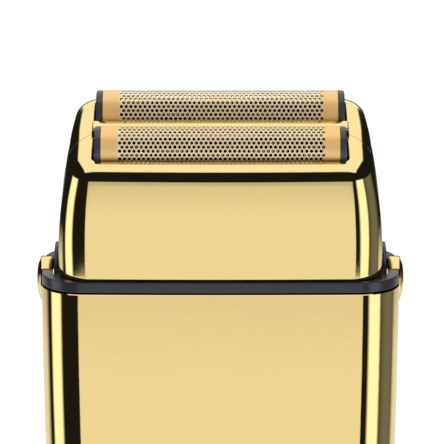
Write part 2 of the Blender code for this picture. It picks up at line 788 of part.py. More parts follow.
def build_chassis():
    """The moulded chassis that carries the motor, the cell and the board."""
    chassis = part(box((-19.4, 9.7, 8.6), (19.4, 10.5, 112.0)), "chassis", "satin_black")
    shelves = {
        "motor_roof": box((-12, -9.6, MOTOR_HIGH + 0.4), (12, 10, MOTOR_HIGH + 1.6)),
        "motor_floor": box((-11, -4, MOTOR_LOW - 1.6), (11, 10.1, MOTOR_LOW - 0.4)),
        "cell_floor": box((-19.2, -6, 9.2), (19.2, 10, 12.2)),
    }
    for side, sign in SIDES.items():
        shelves[f"{side}_spring_wall"] = side_box(sign, (18.3, 19.2), (-4, 10), (103, 111.6))
        shelves[f"{side}_boss"] = side_box(sign, (15.8, 19.0), (5.2, 10.2), (103.5, 111.8))
    for name, shelf in shelves.items():
        combine(chassis, tool(shelf, f"chassis_{name}"), "UNION")
    combine(chassis, tool(cylinder((0, 0, 108), 3.6, 6), "chassis_bore"))
    combine(chassis, tool(box((-3.7, -7, 8), (3.7, 5.4, 13.5)), "chassis_socket_gap"))
    for side, sign in SIDES.items():
        combine(chassis, tool(cylinder((sign * 17.4, 7.4, 111), 1.3, 6, segments=16), f"boss_{side}"))
        combine(chassis, tool(cylinder((sign * 14.5, 0, 9.2), 1.3, 4.6, segments=16), f"cap_boss_{side}"))


def build_base_cap():
    """The base cap, its screws, and the charging socket in its middle."""
    rings = []
    for inset, height in ((1.2, 0), (0.5, 0.25), (0.12, 0.7), (0, 1.3), (0, 3.5), (0, BASE_CAP_TOP)):
        half_width, half_depth = handle_size(height)
        ring = outline(half_width - inset, half_depth - inset, HANDLE_CORNER - inset, HANDLE_CROWN)
        rings.append(level(ring, height))
    cap = part(loft(rings, floor=True, roof=True), "base_cap", "gloss_black")
    combine(cap, tool(cylinder((0, 0, 3), 3.5, 12), "socket_bore"))
    for side, sign in SIDES.items():
        combine(cap, tool(cylinder((sign * 14.5, 0, 0), 2.5, 3.6, segments=20), f"cap_{side}_counterbore"))
        combine(cap, tool(cylinder((sign * 14.5, 0, 3), 1.3, 12, segments=16), f"cap_{side}_hole"))
        screw(f"base_screw_{side}", (sign * 14.5, 0, 1.5), 2.2, 1.1, 1.0, 9.5, down=False)
    turned(
        "charging_socket",
        "satin_black",
        [
            (1.4, 11.0),
            (3.2, 11.0),
            (3.2, 0.6),
            (1.9, 0.6),
            (1.9, 9.0),
            (1.4, 9.0),
        ],
        (0, 0, 0),
        closed=True,
        segments=24,
    )
    turned(
        "socket_pin", "steel", [(0, 5.4), (0.5, 5.4), (0.5, -2.4), (0, -3.0)], (0, 0, 5.0), segments=12
    )


clear_scene()
SHAVER = collection("foil_shaver")
CUTTERS = collection("cutters")


def main():
    deck = bpy.data.objects.new("deck_frame", None)
    deck.location = Vector((0, DECK_MIDDLE_Y, DECK_MIDDLE_Z)) * MM
    deck.rotation_euler = (DECK_TILT, 0, 0)
    SHAVER.objects.link(deck)
    build_cover(deck)
    build_foil_frame(deck)
    for row, v in FOIL_ROWS.items():
        build_foil(row, v, deck)
        build_cutter(row, v, deck)
    build_bridge()
    build_band()
    for side, sign in SIDES.items():
        build_release(side, sign)
    shells = build_shells()
    build_slider(shells["front_shell"])
    build_cell_and_board()
    build_motor()
    build_drive_plate()
    build_chassis()
    build_base_cap()


main()
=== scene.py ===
"""Surfaces, finishes, light and camera for the double-foil shaver.

X runs across the shaver, -Y is its front and +Z runs up to the foils. Shapes are built in
millimetres and brought to the frame's metres when they are published. Pieces of the head
follow the leaning deck: u across, v towards the back, n out of the deck.
"""

import json
import logging
from collections.abc import Callable, Iterable, Sequence
from dataclasses import dataclass
from enum import Enum
from math import cos, pi, radians, sin

import bmesh
import bpy
from bmesh.types import BMesh, BMEdge, BMVert
from mathutils import Matrix, Vector


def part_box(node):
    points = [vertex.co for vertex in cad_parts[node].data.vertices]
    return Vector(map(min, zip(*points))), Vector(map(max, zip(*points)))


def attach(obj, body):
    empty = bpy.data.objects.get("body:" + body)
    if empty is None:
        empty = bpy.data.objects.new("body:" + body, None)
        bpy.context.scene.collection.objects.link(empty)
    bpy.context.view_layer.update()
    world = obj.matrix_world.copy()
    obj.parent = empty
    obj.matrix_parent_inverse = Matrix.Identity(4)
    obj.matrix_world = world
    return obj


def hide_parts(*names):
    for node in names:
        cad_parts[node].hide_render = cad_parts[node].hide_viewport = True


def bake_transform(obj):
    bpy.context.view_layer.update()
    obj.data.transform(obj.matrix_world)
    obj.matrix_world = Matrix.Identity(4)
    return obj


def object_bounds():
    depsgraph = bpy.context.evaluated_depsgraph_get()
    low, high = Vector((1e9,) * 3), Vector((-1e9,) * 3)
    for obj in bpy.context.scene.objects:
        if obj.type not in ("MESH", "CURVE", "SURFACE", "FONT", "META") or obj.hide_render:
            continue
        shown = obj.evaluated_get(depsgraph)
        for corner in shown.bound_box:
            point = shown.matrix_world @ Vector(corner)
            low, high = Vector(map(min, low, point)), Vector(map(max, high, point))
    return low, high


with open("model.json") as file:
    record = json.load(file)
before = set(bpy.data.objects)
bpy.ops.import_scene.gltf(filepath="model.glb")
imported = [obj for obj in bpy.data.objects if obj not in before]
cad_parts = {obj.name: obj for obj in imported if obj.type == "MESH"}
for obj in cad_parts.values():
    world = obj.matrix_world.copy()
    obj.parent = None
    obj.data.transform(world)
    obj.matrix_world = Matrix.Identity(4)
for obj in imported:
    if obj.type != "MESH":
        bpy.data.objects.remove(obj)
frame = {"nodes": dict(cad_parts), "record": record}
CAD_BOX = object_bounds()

LOG = logging.getLogger("foil_shaver")
MM = 0.001
Ring = list[Vector]
Socket = bpy.types.NodeSocket
Tree = bpy.types.NodeTree


# ---------------------------------------------------------------- shared shape helpers


def outline(
    half_width: float,
    half_depth: float,
    corner: float,
    crown: float = 0.0,
    arc: int = 12,
    side: int = 6,
    face: int = 20,
) -> list[tuple[float, float]]:
    """The points of a rounded rectangle whose long sides bow out.

    Args:
        half_width: Half of its size across.
        half_depth: Half of its size from front to back.
        corner: Radius of its corners.
        crown: How far the middle of a long side bows out.
        arc: Steps of each corner.
        side: Steps from the middle of a short side to its corner.
        face: Steps from the middle of a long side to its corner.

    Returns:
        The (x, y) points, anticlockwise from the middle of the right side.
    """
    straight_x = half_width - corner
    straight_y = half_depth - corner
    quarter = [(half_width, straight_y * i / side) for i in range(side)]
    for i in range(arc + 1):
        turn = pi / 2 * i / arc
        quarter.append((straight_x + corner * cos(turn), straight_y + corner * sin(turn)))
    quarter += [(straight_x * (1 - i / face), half_depth) for i in range(1, face + 1)]
    bowed = [(x, y + crown * (1 - (x / half_width) ** 2) * (y / half_depth) ** 2) for x, y in quarter]
    back = bowed[::-1]
    ring = bowed[:-1] + [(-x, y) for x, y in back[:-1]]
    return ring + [(-x, -y) for x, y in bowed[:-1]] + [(x, -y) for x, y in back[:-1]]


def level(points: Iterable[tuple[float, float]], height: float) -> Ring:
    """Points of an outline as a ring at one height."""
    return [Vector((x, y, height)) for x, y in points]


def loop(shape: BMesh, ring: Sequence[Vector], closed: bool = True) -> tuple[list[BMVert], list[BMEdge]]:
    """Start a chain of edges.

    Args:
        shape: The mesh that takes it.
        ring: Its points in order.
        closed: Whether its last point joins its first.

    Returns:
        Its vertices and its edges.
    """
    verts = [shape.verts.new(point) for point in ring]
    ends = verts[1:] + verts[:1] if closed else verts[1:]
    return verts, [shape.edges.new(pair) for pair in zip(verts, ends)]


def skin(
    shape: BMesh, rings: Sequence[Ring], closed: bool = True
) -> tuple[list[BMVert], list[BMEdge], list[BMVert], list[BMEdge]]:
    """Extrude a chain of edges from ring to ring.

    Args:
        shape: The mesh that takes it.
        rings: Rings of equal count.
        closed: Whether each ring joins its own start.

    Returns:
        Vertices and edges of the first ring, then of the last one.
    """
    first, first_edges = loop(shape, rings[0], closed)
    row, edges = first, first_edges
    for ring in rings[1:]:
        made = bmesh.ops.extrude_edge_only(shape, edges=edges)["geom"]
        fresh = {item for item in made if isinstance(item, BMVert)}
        row = [next(e.other_vert(v) for e in v.link_edges if e.other_vert(v) in fresh) for v in row]
        edges = [item for item in made if isinstance(item, BMEdge)]
        for vert, point in zip(row, ring):
            vert.co = point
    return first, first_edges, row, edges


def cap(shape: BMesh, edges: Iterable[BMEdge]) -> None:
    """Fill the flat region between loops of edges."""
    bmesh.ops.triangle_fill(shape, use_beauty=True, use_dissolve=False, edges=list(edges))


def tube(points: Sequence[Vector], radii: Sequence[float], sides: int = 12) -> BMesh:
    """A round bar along a run of points.

    Args:
        points: Its middle line.
        radii: Its radius at each point.
        sides: Sides of its section.

    Returns:
        The closed bar.
    """
    shape = bmesh.new()
    rings = []
    across = Vector((0, 0, 1)).cross(points[1] - points[0])
    if across.length < 1e-6:
        across = Vector((1, 0, 0))
    for i, (point, radius) in enumerate(zip(points, radii)):
        ahead = (points[min(i + 1, len(points) - 1)] - points[max(i - 1, 0)]).normalized()
        across = (across - ahead * across.dot(ahead)).normalized()
        up = ahead.cross(across)
        turns = [2 * pi * k / sides for k in range(sides)]
        rings.append([point + (across * cos(t) + up * sin(t)) * radius for t in turns])
    _, low, _, high = skin(shape, rings)
    cap(shape, low)
    cap(shape, high)
    return shape


def turned(profile: Sequence[tuple[float, float]], steps: int = 48) -> BMesh:
    """A shape turned about Z from a (radius, height) profile that starts and ends on the axis."""
    shape = bmesh.new()
    verts, edges = loop(shape, [Vector((r, 0, h)) for r, h in profile], closed=False)
    bmesh.ops.spin(
        shape,
        geom=verts + edges,
        axis=(0, 0, 1),
        cent=(0, 0, 0),
        angle=2 * pi,
        steps=steps,
        use_merge=True,
        use_duplicate=False,
    )
    bmesh.ops.remove_doubles(shape, verts=shape.verts, dist=0.0005)
    return shape


def block(low: Sequence[float], high: Sequence[float], edge: float = 0.0, segments: int = 2) -> BMesh:
    """A box between two corners, with its edges rounded by edge."""
    low, high = Vector(low), Vector(high)
    shape = bmesh.new()
    size = Matrix.Diagonal((*(high - low), 1))
    bmesh.ops.create_cube(shape, size=1, matrix=Matrix.Translation((low + high) / 2) @ size)
    if edge:
        soften(shape, shape.edges[:], edge, segments)
    return shape


def rod(centre: Sequence[float], radius: float, length: float, turn: Matrix, segments: int = 48) -> BMesh:
    """A plain cylinder about its centre, turned from Z."""
    shape = bmesh.new()
    bmesh.ops.create_cone(
        shape,
        cap_ends=True,
        segments=segments,
        radius1=radius,
        radius2=radius,
        depth=length,
        matrix=Matrix.Translation(Vector(centre)) @ turn,
    )
    return shape


def soften(shape: BMesh, edges: Sequence[BMEdge], width: float, segments: int = 2) -> None:
    """Round edges of a mesh."""
    bmesh.ops.bevel(
        shape,
        geom=edges,
        offset=width,
        offset_type="OFFSET",
        affect="EDGES",
        segments=segments,
        profile=0.5,
        clamp_overlap=True,
        material=-1,
    )


def plate(half_width: float, half_height: float, corner: float, low_n: float, high_n: float, edge: float) -> BMesh:
    """A plate with rounded corners and rounded edges, flat across Z."""
    shape = bmesh.new()
    rings = []
    for inset, height in rounding(edge, low_n, 1):
        rings.append(level(outline(half_width - inset, half_height - inset, corner - inset, 0, 8, 2, 4), height))
    for inset, height in reversed(rounding(edge, high_n, -1)):
        rings.append(level(outline(half_width - inset, half_height - inset, corner - inset, 0, 8, 2, 4), height))
    _, low, _, high = skin(shape, rings)
    cap(shape, low)
    cap(shape, high)
    return shape


def rounding(radius: float, height: float, way: int, steps: int = 4) -> list[tuple[float, float]]:
    """(inset, height) pairs of a rounded edge, from the flat end to the side.

    Args:
        radius: Radius of the rounding.
        height: Height of the flat.
        way: 1 when the body lies above the flat and -1 when it lies below.
        steps: Steps of the quarter turn.

    Returns:
        The pairs, with one more on the flat before the turn.
    """
    turns = [pi / 2 * i / steps for i in range(steps + 1)]
    return [(radius * 1.5, height)] + [
        (radius * (1 - sin(t)), height + way * radius * (1 - cos(t))) for t in turns
    ]


TO_X = Matrix.Rotation(pi / 2, 4, "Y")
TO_Y = Matrix.Rotation(pi / 2, 4, "X")
UPRIGHT = Matrix.Identity(4)


@dataclass
class Deck:
    """The leaning deck's own frame."""

    tilt: float = radians(20.0)
    middle_y: float = -0.6
    middle_z: float = 142.9

    def frame(self) -> Matrix:
        """From the deck's (u, v, n) to the shaver's (x, y, z)."""
        return Matrix.Translation((0, self.middle_y, self.middle_z)) @ Matrix.Rotation(self.tilt, 4, "X")

    def ring(self, points: Iterable[tuple[float, float]], rise: float, row: float = 0.0) -> Ring:
        """Points of an outline at one height over the deck."""
        place = self.frame()
        return [place @ Vector((u, v + row, rise)) for u, v in points]


DECK = Deck()


# ---------------------------------------------------------------- finishes


class Grain(Enum):
    """How the fine grain of a finish lies, as how much it is squeezed along x, y and z."""

    EVEN = (1.0, 1.0, 1.0)
    ALONG_X = (0.04, 1.0, 1.0)
    ALONG_Y = (1.0, 0.04, 1.0)
    ALONG_Z = (1.0, 1.0, 0.04)


def new_group(name: str, inputs: dict[str, str], outputs: dict[str, str]) -> Tree:
    """A shader node group with named sockets.

    Args:
        name: Its name.
        inputs: Socket type by input name.
        outputs: Socket type by output name.

    Returns:
        The group, with its input and output nodes named "in" and "out".
    """
    tree = bpy.data.node_groups.new(name, "ShaderNodeTree")
    for label, kind in inputs.items():
        tree.interface.new_socket(label, in_out="INPUT", socket_type=kind)
    for label, kind in outputs.items():
        tree.interface.new_socket(label, in_out="OUTPUT", socket_type=kind)
    tree.nodes.new("NodeGroupInput").name = "in"
    tree.nodes.new("NodeGroupOutput").name = "out"
    return tree


def add(tree: Tree, kind: str, settings: dict | None = None, **inputs) -> bpy.types.Node:
    """Add a node, set its properties, and set or link its inputs.

    Args:
        tree: The tree that takes it.
        kind: Its type.
        settings: Property values by name.
        **inputs: Values or output sockets, by input name, or by number as n0, n1 and so on.

    Returns:
        The node.
    """
    node = tree.nodes.new(kind)
    for key, value in (settings or {}).items():
        setattr(node, key, value)
    for key, value in inputs.items():
        at = int(key[1:]) if key[0] == "n" and key[1:].isdigit() else key.replace("_", " ")
        socket = node.inputs[at]
        if isinstance(value, Socket):
            tree.links.new(value, socket)
        else:
            socket.default_value = value
    return node


def math(tree: Tree, operation: str, *values: float | Socket) -> Socket:
    """The output of a Math node over values or sockets."""
    inputs = {f"n{i}": value for i, value in enumerate(values)}
    return add(tree, "ShaderNodeMath", {"operation": operation}, **inputs).outputs[0]


def grain_group() -> Tree:
    """Fine grain: Height and Tone of a noise that may be drawn out along one way."""
    tree = new_group(
        "grain",
        {"Vector": "NodeSocketVector", "Squeeze": "NodeSocketVector", "Scale": "NodeSocketFloat"},
        {"Height": "NodeSocketFloat", "Tone": "NodeSocketFloat"},
    )
    inward, out = tree.nodes["in"].outputs, tree.nodes["out"]
    drawn = add(tree, "ShaderNodeVectorMath", {"operation": "MULTIPLY"}, n0=inward[0], n1=inward[1]).outputs[0]
    fine = add(tree, "ShaderNodeTexNoise", None, Vector=drawn, Scale=inward[2], Detail=3.0, Roughness=0.6)
    coarse_scale = math(tree, "MULTIPLY", inward[2], 0.21)
    coarse = add(tree, "ShaderNodeTexNoise", None, Vector=drawn, Scale=coarse_scale, Detail=2.0)
    tree.links.new(fine.outputs[0], out.inputs[0])
    tone = math(tree, "MULTIPLY_ADD", coarse.outputs[0], 0.6, math(tree, "MULTIPLY", fine.outputs[0], 0.4))
    tree.links.new(tone, out.inputs[1])
    return tree


def handling_group() -> Tree:
    """Traces of handling: soft Smudge patches and thin Scratch marks."""
    tree = new_group(
        "handling",
        {"Vector": "NodeSocketVector", "Scale": "NodeSocketFloat"},
        {"Smudge": "NodeSocketFloat", "Scratch": "NodeSocketFloat"},
    )
    inward, out = tree.nodes["in"].outputs, tree.nodes["out"]
    patches = add(
        tree, "ShaderNodeTexNoise", None, Vector=inward[0], Scale=inward[1], Detail=4.0, Distortion=0.6
    )
    smudge = add(
        tree, "ShaderNodeMapRange", {"interpolation_type": "SMOOTHSTEP"}, Value=patches.outputs[0], From_Min=0.35,
        From_Max=0.7,
    )
    tree.links.new(smudge.outputs[0], out.inputs[0])
    marks = None
    for turn in (0.5, -0.8):
        turns = (turn, turn / 2, turn)
        lie = add(tree, "ShaderNodeMapping", None, Vector=inward[0], Rotation=turns, Scale=(1, 0.05, 1))
        fine = math(tree, "MULTIPLY", inward[1], 30.0)
        streak = add(tree, "ShaderNodeTexNoise", None, Vector=lie.outputs[0], Scale=fine)
        thin = add(tree, "ShaderNodeMapRange", None, Value=streak.outputs[0], From_Min=0.72, From_Max=0.78).outputs[0]
        marks = thin if marks is None else math(tree, "MAXIMUM", marks, thin)
    tree.links.new(marks, out.inputs[1])
    return tree


@dataclass(frozen=True)
class Finish:
    """One finish of the shaver, with the fine detail of its surface."""

    name: str
    colour: tuple[float, float, float]
    roughness: float
    metallic: float = 0.0
    tint: tuple[float, float, float] | None = None
    tint_share: float = 0.3
    spread: float = 0.04
    grain: Grain = Grain.EVEN
    grain_scale: float = 5000.0
    slope: float = 0.02
    scratches: float = 0.0
    smudge_scale: float = 140.0
    coat: float = 0.0
    transmission: float = 0.0

    def material(self) -> bpy.types.Material:
        """The material of this finish, made the first time that it is asked for."""
        return bpy.data.materials.get(self.name) or self.build()

    def build(self) -> bpy.types.Material:
        """Build the node tree of the finish."""
        material = bpy.data.materials.new(self.name)
        material.use_nodes = True
        tree = material.node_tree
        shader = tree.nodes["Principled BSDF"]
        where = add(tree, "ShaderNodeTexCoord").outputs["Object"]
        grain = self.place(tree, "grain", Vector=where, Squeeze=self.grain.value, Scale=self.grain_scale)
        handling = self.place(tree, "handling", Vector=where, Scale=self.smudge_scale)
        share = math(tree, "MULTIPLY", grain.outputs["Tone"], self.tint_share)
        tint = self.tint or tuple(c * 0.8 for c in self.colour)
        mixed = add(tree, "ShaderNodeMix", {"data_type": "RGBA"}, n0=share, n6=(*self.colour, 1), n7=(*tint, 1))
        tree.links.new(self.tone(tree, where, mixed.outputs[2]), shader.inputs["Base Color"])
        worn = math(tree, "MULTIPLY_ADD", handling.outputs["Smudge"], self.spread, self.roughness)
        rough = math(tree, "MULTIPLY_ADD", handling.outputs["Scratch"], self.scratches * 0.3, worn)
        tree.links.new(rough, shader.inputs["Roughness"])
        cut = math(tree, "MULTIPLY", handling.outputs["Scratch"], -self.scratches)
        height = math(tree, "ADD", grain.outputs["Height"], cut)
        height = self.relief(tree, where, height)
        distance = self.slope / (0.5 * self.grain_scale)
        bump = add(tree, "ShaderNodeBump", None, Strength=1.0, Distance=distance, Height=height)
        tree.links.new(bump.outputs[0], shader.inputs["Normal"])
        shader.inputs["Metallic"].default_value = self.metallic
        if self.coat:
            shader.inputs["Coat Weight"].default_value = self.coat
            shader.inputs["Coat Roughness"].default_value = 0.03
        if self.transmission:
            shader.inputs["Transmission Weight"].default_value = self.transmission
        return material

    def relief(self, tree: Tree, where: Socket, height: Socket) -> Socket:
        """The height that the bump reads; a plain finish keeps its own."""
        return height

    def tone(self, tree: Tree, where: Socket, colour: Socket) -> Socket:
        """The colour of the surface; a plain finish keeps its own."""
        return colour

    @staticmethod
    def place(tree: Tree, group: str, **inputs) -> bpy.types.Node:
        """Place a shared group in a material and give it its values."""
        makers: dict[str, Callable] = {"grain": grain_group, "handling": handling_group}
        node = tree.nodes.new("ShaderNodeGroup")
        node.node_tree = bpy.data.node_groups.get(group) or makers[group]()
        for label, value in inputs.items():
            if isinstance(value, Socket):
                tree.links.new(value, node.inputs[label])
            else:
                node.inputs[label].default_value = value
        return node


def deck_height(tree: Tree, where: Socket) -> Socket:
    """How far a point lies out of the leaning deck.

    Args:
        tree: The finish's tree.
        where: The point, in metres.

    Returns:
        A socket with the distance, in metres.
    """
    y, z = add(tree, "ShaderNodeSeparateXYZ", None, Vector=where).outputs[1:]
    y = math(tree, "SUBTRACT", y, DECK.middle_y * MM)
    z = math(tree, "SUBTRACT", z, DECK.middle_z * MM)
    return math(tree, "MULTIPLY_ADD", z, cos(DECK.tilt), math(tree, "MULTIPLY", y, -sin(DECK.tilt)))


@dataclass(frozen=True)
class SeamedFinish(Finish):
    """Polished metal with the fine parting line that crosses the two cheeks of the deck."""

    seam_u: float = 22.8
    seam_v: float = 0.6
    seam_slope: float = 0.7
    seam_half: float = 0.09
    seam_depth: float = 60.0

    def relief(self, tree: Tree, where: Socket, height: Socket) -> Socket:
        """Cut the parting line into the height, outside the foils and above the wall.

        Args:
            tree: The finish's tree.
            where: The point, in metres.
            height: The height before the cut.

        Returns:
            The height with the line in it.
        """
        x, y, z = add(tree, "ShaderNodeSeparateXYZ", None, Vector=where).outputs
        y = math(tree, "SUBTRACT", y, DECK.middle_y * MM)
        z = math(tree, "SUBTRACT", z, DECK.middle_z * MM)
        v = math(tree, "MULTIPLY_ADD", y, cos(DECK.tilt), math(tree, "MULTIPLY", z, sin(DECK.tilt)))
        n = deck_height(tree, where)
        out = math(tree, "SUBTRACT", math(tree, "ABSOLUTE", x), self.seam_u * MM)
        line = math(tree, "MULTIPLY_ADD", out, self.seam_slope, math(tree, "ADD", v, self.seam_v * MM))
        smooth = {"interpolation_type": "SMOOTHSTEP"}
        near = add(tree, "ShaderNodeMapRange", smooth, Value=math(tree, "ABSOLUTE", line), From_Min=0.0,
                   From_Max=self.seam_half * MM, To_Min=1.0, To_Max=0.0).outputs[0]
        side = math(tree, "GREATER_THAN", out, 0.0)
        high = math(tree, "GREATER_THAN", n, -2.2 * MM)
        groove = math(tree, "MULTIPLY", near, math(tree, "MULTIPLY", side, high))
        return math(tree, "MULTIPLY_ADD", groove, -self.seam_depth, height)


@dataclass(frozen=True)
class PaintedSheenShadeFinish(Finish):
    """Foil metal whose perforated field is painted paler than its plain ends as a painted sheen, with painted shade
    and a painted dark reflection at its feet.
    """

    # painted sheen: a paler colour over the perforated field that stands for the light that its webs catch
    painted_sheen: tuple[float, float, float] = (0.86, 0.68, 0.42)
    painted_sheen_half: float = 18.0
    # painted shade: this dark colour at the foils' feet stands for the slot's shade and the dark reflection there
    painted_foot_shade: tuple[float, float, float] = (0.10, 0.07, 0.035)
    painted_shade_top: float = 1.0

    def tone(self, tree: Tree, where: Socket, colour: Socket) -> Socket:
        """Mix the paler colour in between the plain ends as a painted sheen, and paint shade over the feet.

        Args:
            tree: The finish's tree.
            where: The point, in metres.
            colour: The colour of the plain ends.

        Returns:
            The mixed colour.
        """
        x = add(tree, "ShaderNodeSeparateXYZ", None, Vector=where).outputs[0]
        n = deck_height(tree, where)
        # painted shade: the mask is 1 at the foot of the foil and fades out above it
        low = add(tree, "ShaderNodeMapRange", {"interpolation_type": "SMOOTHSTEP"}, Value=n, From_Min=-0.6 * MM,
                  From_Max=self.painted_shade_top * MM, To_Min=1.0, To_Max=0.0).outputs[0]
        # painted sheen: the mask is 1 inside the perforated field
        inside = add(tree, "ShaderNodeMapRange", {"interpolation_type": "SMOOTHSTEP"},
                     Value=math(tree, "ABSOLUTE", x), From_Min=(self.painted_sheen_half - 0.4) * MM,
                     From_Max=(self.painted_sheen_half + 0.4) * MM, To_Min=1.0, To_Max=0.0).outputs[0]
        field = add(tree, "ShaderNodeMix", {"data_type": "RGBA"}, n0=inside, n6=colour,
                    n7=(*self.painted_sheen, 1)).outputs[2]
        # paint the shade over the foot
        return add(tree, "ShaderNodeMix", {"data_type": "RGBA"}, n0=low, n6=field, n7=(*self.painted_foot_shade, 1)).outputs[2]


GOLD_COLOUR = (0.85, 0.665, 0.285)
GOLD = Finish("polished_gold", GOLD_COLOUR, 0.035, 1.0, (0.87, 0.69, 0.31), spread=0.03, grain_scale=350.0,
              slope=0.0012, scratches=0.05, smudge_scale=110.0)
GOLD_COVER = SeamedFinish("polished_gold_cover", GOLD_COLOUR, 0.035, 1.0, (0.87, 0.69, 0.31), spread=0.03,
                          grain_scale=350.0, slope=0.0012, scratches=0.05, smudge_scale=110.0)
# The foil's finish, with a painted sheen over its perforated field and painted shade at its feet.
FOIL_GOLD = PaintedSheenShadeFinish("foil_gold", (0.86, 0.53, 0.19), 0.30, 0.25, (0.92, 0.62, 0.28), spread=0.08,
                   grain=Grain.ALONG_X, grain_scale=9000.0, slope=0.05)
GLOSS_BLACK = Finish("gloss_black", (0.012, 0.012, 0.015), 0.06, spread=0.05, grain_scale=700.0, slope=0.002,
                     scratches=0.05, coat=0.3)
CAP_BLACK = Finish("cap_black", (0.040, 0.044, 0.054), 0.20, spread=0.08, grain_scale=3500.0, slope=0.03)
CORE_BLACK = Finish("core_black", (0.016, 0.011, 0.007), 0.75, spread=0.1, grain_scale=3000.0, slope=0.08)
SATIN_BLACK = Finish("satin_black", (0.028, 0.028, 0.031), 0.45, spread=0.1, grain_scale=3000.0, slope=0.08)
RUBBER = Finish("seal_rubber", (0.022, 0.022, 0.023), 0.75, spread=0.12, grain_scale=2600.0, slope=0.12)
BLADE_STEEL = Finish("blade_steel", (0.07, 0.05, 0.03), 0.45, 1.0, (0.05, 0.035, 0.02), spread=0.1,
                     grain=Grain.ALONG_Y, grain_scale=7000.0, slope=0.05, scratches=0.3)
STEEL = Finish("steel", (0.60, 0.60, 0.61), 0.30, 1.0, (0.48, 0.48, 0.50), spread=0.1, grain=Grain.ALONG_X,
               grain_scale=6000.0, slope=0.05, scratches=0.3)
ZINC = Finish("zinc", (0.64, 0.65, 0.66), 0.38, 1.0, (0.52, 0.53, 0.56), 0.6, spread=0.15, grain=Grain.ALONG_Z,
              grain_scale=2500.0, slope=0.04)
CELL_WRAP = Finish("cell_wrap", (0.05, 0.13, 0.36), 0.30, tint=(0.04, 0.10, 0.28), spread=0.1, grain_scale=1800.0,
                   slope=0.03)
BOARD_GREEN = Finish("board_green", (0.02, 0.17, 0.07), 0.38, tint=(0.04, 0.25, 0.10), tint_share=0.8,
                     spread=0.1, grain=Grain.ALONG_Z, grain_scale=1500.0, slope=0.05)
LENS = Finish("lens", (0.85, 0.90, 0.95), 0.10, spread=0.03, grain_scale=2500.0, slope=0.01, transmission=0.6)
WIRE_RED = Finish("wire_red", (0.50, 0.02, 0.02), 0.45, spread=0.1, grain_scale=3000.0, slope=0.04)
WIRE_BLACK = Finish("wire_black", (0.02, 0.02, 0.02), 0.45, spread=0.1, grain_scale=3000.0, slope=0.04)

CAD_FINISHES: dict[str, Finish] = {
    "gold": GOLD,
    "foil": FOIL_GOLD,
    "gloss_black": GLOSS_BLACK,
    "satin_black": SATIN_BLACK,
    "seal_rubber": RUBBER,
    "blade_steel": BLADE_STEEL,
    "steel": STEEL,
    "zinc": ZINC,
    "cell_wrap": CELL_WRAP,
    "board_green": BOARD_GREEN,
    "lens": LENS,
    "wire_red": WIRE_RED,
    "wire_black": WIRE_BLACK,
}


# ---------------------------------------------------------------- publishing pieces


def publish(
    shape: BMesh,
    name: str,
    finish: Finish,
    body: str | None,
    replaces: Sequence[str] = (),
    sharp: float = 35.0,
    cuts: Sequence[BMesh] = (),
) -> bpy.types.Object:
    """Bring a finished shape into the scene.

    Args:
        shape: The closed shape, in millimetres.
        name: Name of the piece.
        finish: Its finish.
        body: The body that it rides on, or None for a piece that rides on none.
        replaces: CAD nodes that it stands for.
        sharp: Edges that turn by more degrees than this stay crisp.
        cuts: Shapes that are cut out of it.

    Returns:
        The piece.
    """
    obj = settled(shape, name)
    if cuts:
        carve(obj, cuts)
    obj.data.shade_smooth()
    obj.data.set_sharp_from_angle(angle=radians(sharp))
    obj.data.materials.clear()
    obj.data.materials.append(finish.material())
    if body:
        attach(obj, body)
    if replaces:
        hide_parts(*replaces)
    LOG.info("%s: %d faces on %s", name, len(obj.data.polygons), body)
    return obj


def settled(shape: BMesh, name: str) -> bpy.types.Object:
    """An object of a shape, in metres and facing outwards."""
    bmesh.ops.recalc_face_normals(shape, faces=shape.faces)
    bmesh.ops.scale(shape, vec=(MM, MM, MM), verts=shape.verts)
    mesh = bpy.data.meshes.new(name)
    shape.to_mesh(mesh)
    shape.free()
    obj = bpy.data.objects.new(name, mesh)
    bpy.context.scene.collection.objects.link(obj)
    return obj


def carve(obj: bpy.types.Object, cuts: Sequence[BMesh]) -> None:
    """Cut shapes out of a piece and keep the result as its mesh."""
    helpers = [settled(cut, f"cut_{i}") for i, cut in enumerate(cuts)]
    for helper in helpers:
        modifier = obj.modifiers.new("cut", "BOOLEAN")
        modifier.object = helper
        modifier.solver = "MANIFOLD"
    bpy.context.view_layer.update()
    graph = bpy.context.evaluated_depsgraph_get()
    mesh = bpy.data.meshes.new_from_object(obj.evaluated_get(graph))
    obj.modifiers.clear()
    obj.data = mesh
    for helper in helpers:
        bpy.data.objects.remove(helper, do_unlink=True)


def even_normals(obj: bpy.types.Object) -> None:
    """Let wide flat faces keep their own direction where they meet narrow ones."""
    modifier = obj.modifiers.new("even_normals", "WEIGHTED_NORMAL")
    modifier.keep_sharp = True
    modifier.weight = 90


def box_mm(node: str) -> tuple[Vector, Vector]:
    """The corners of a CAD node in millimetres."""
    low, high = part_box(node)
    return Vector(low) / MM, Vector(high) / MM


# ---------------------------------------------------------------- the head


ROWS: dict[str, float] = {"front": -5.2, "rear": 6.7}
ROWS_MIDDLE = 0.75
SIDES: dict[str, int] = {"left": -1, "right": 1}


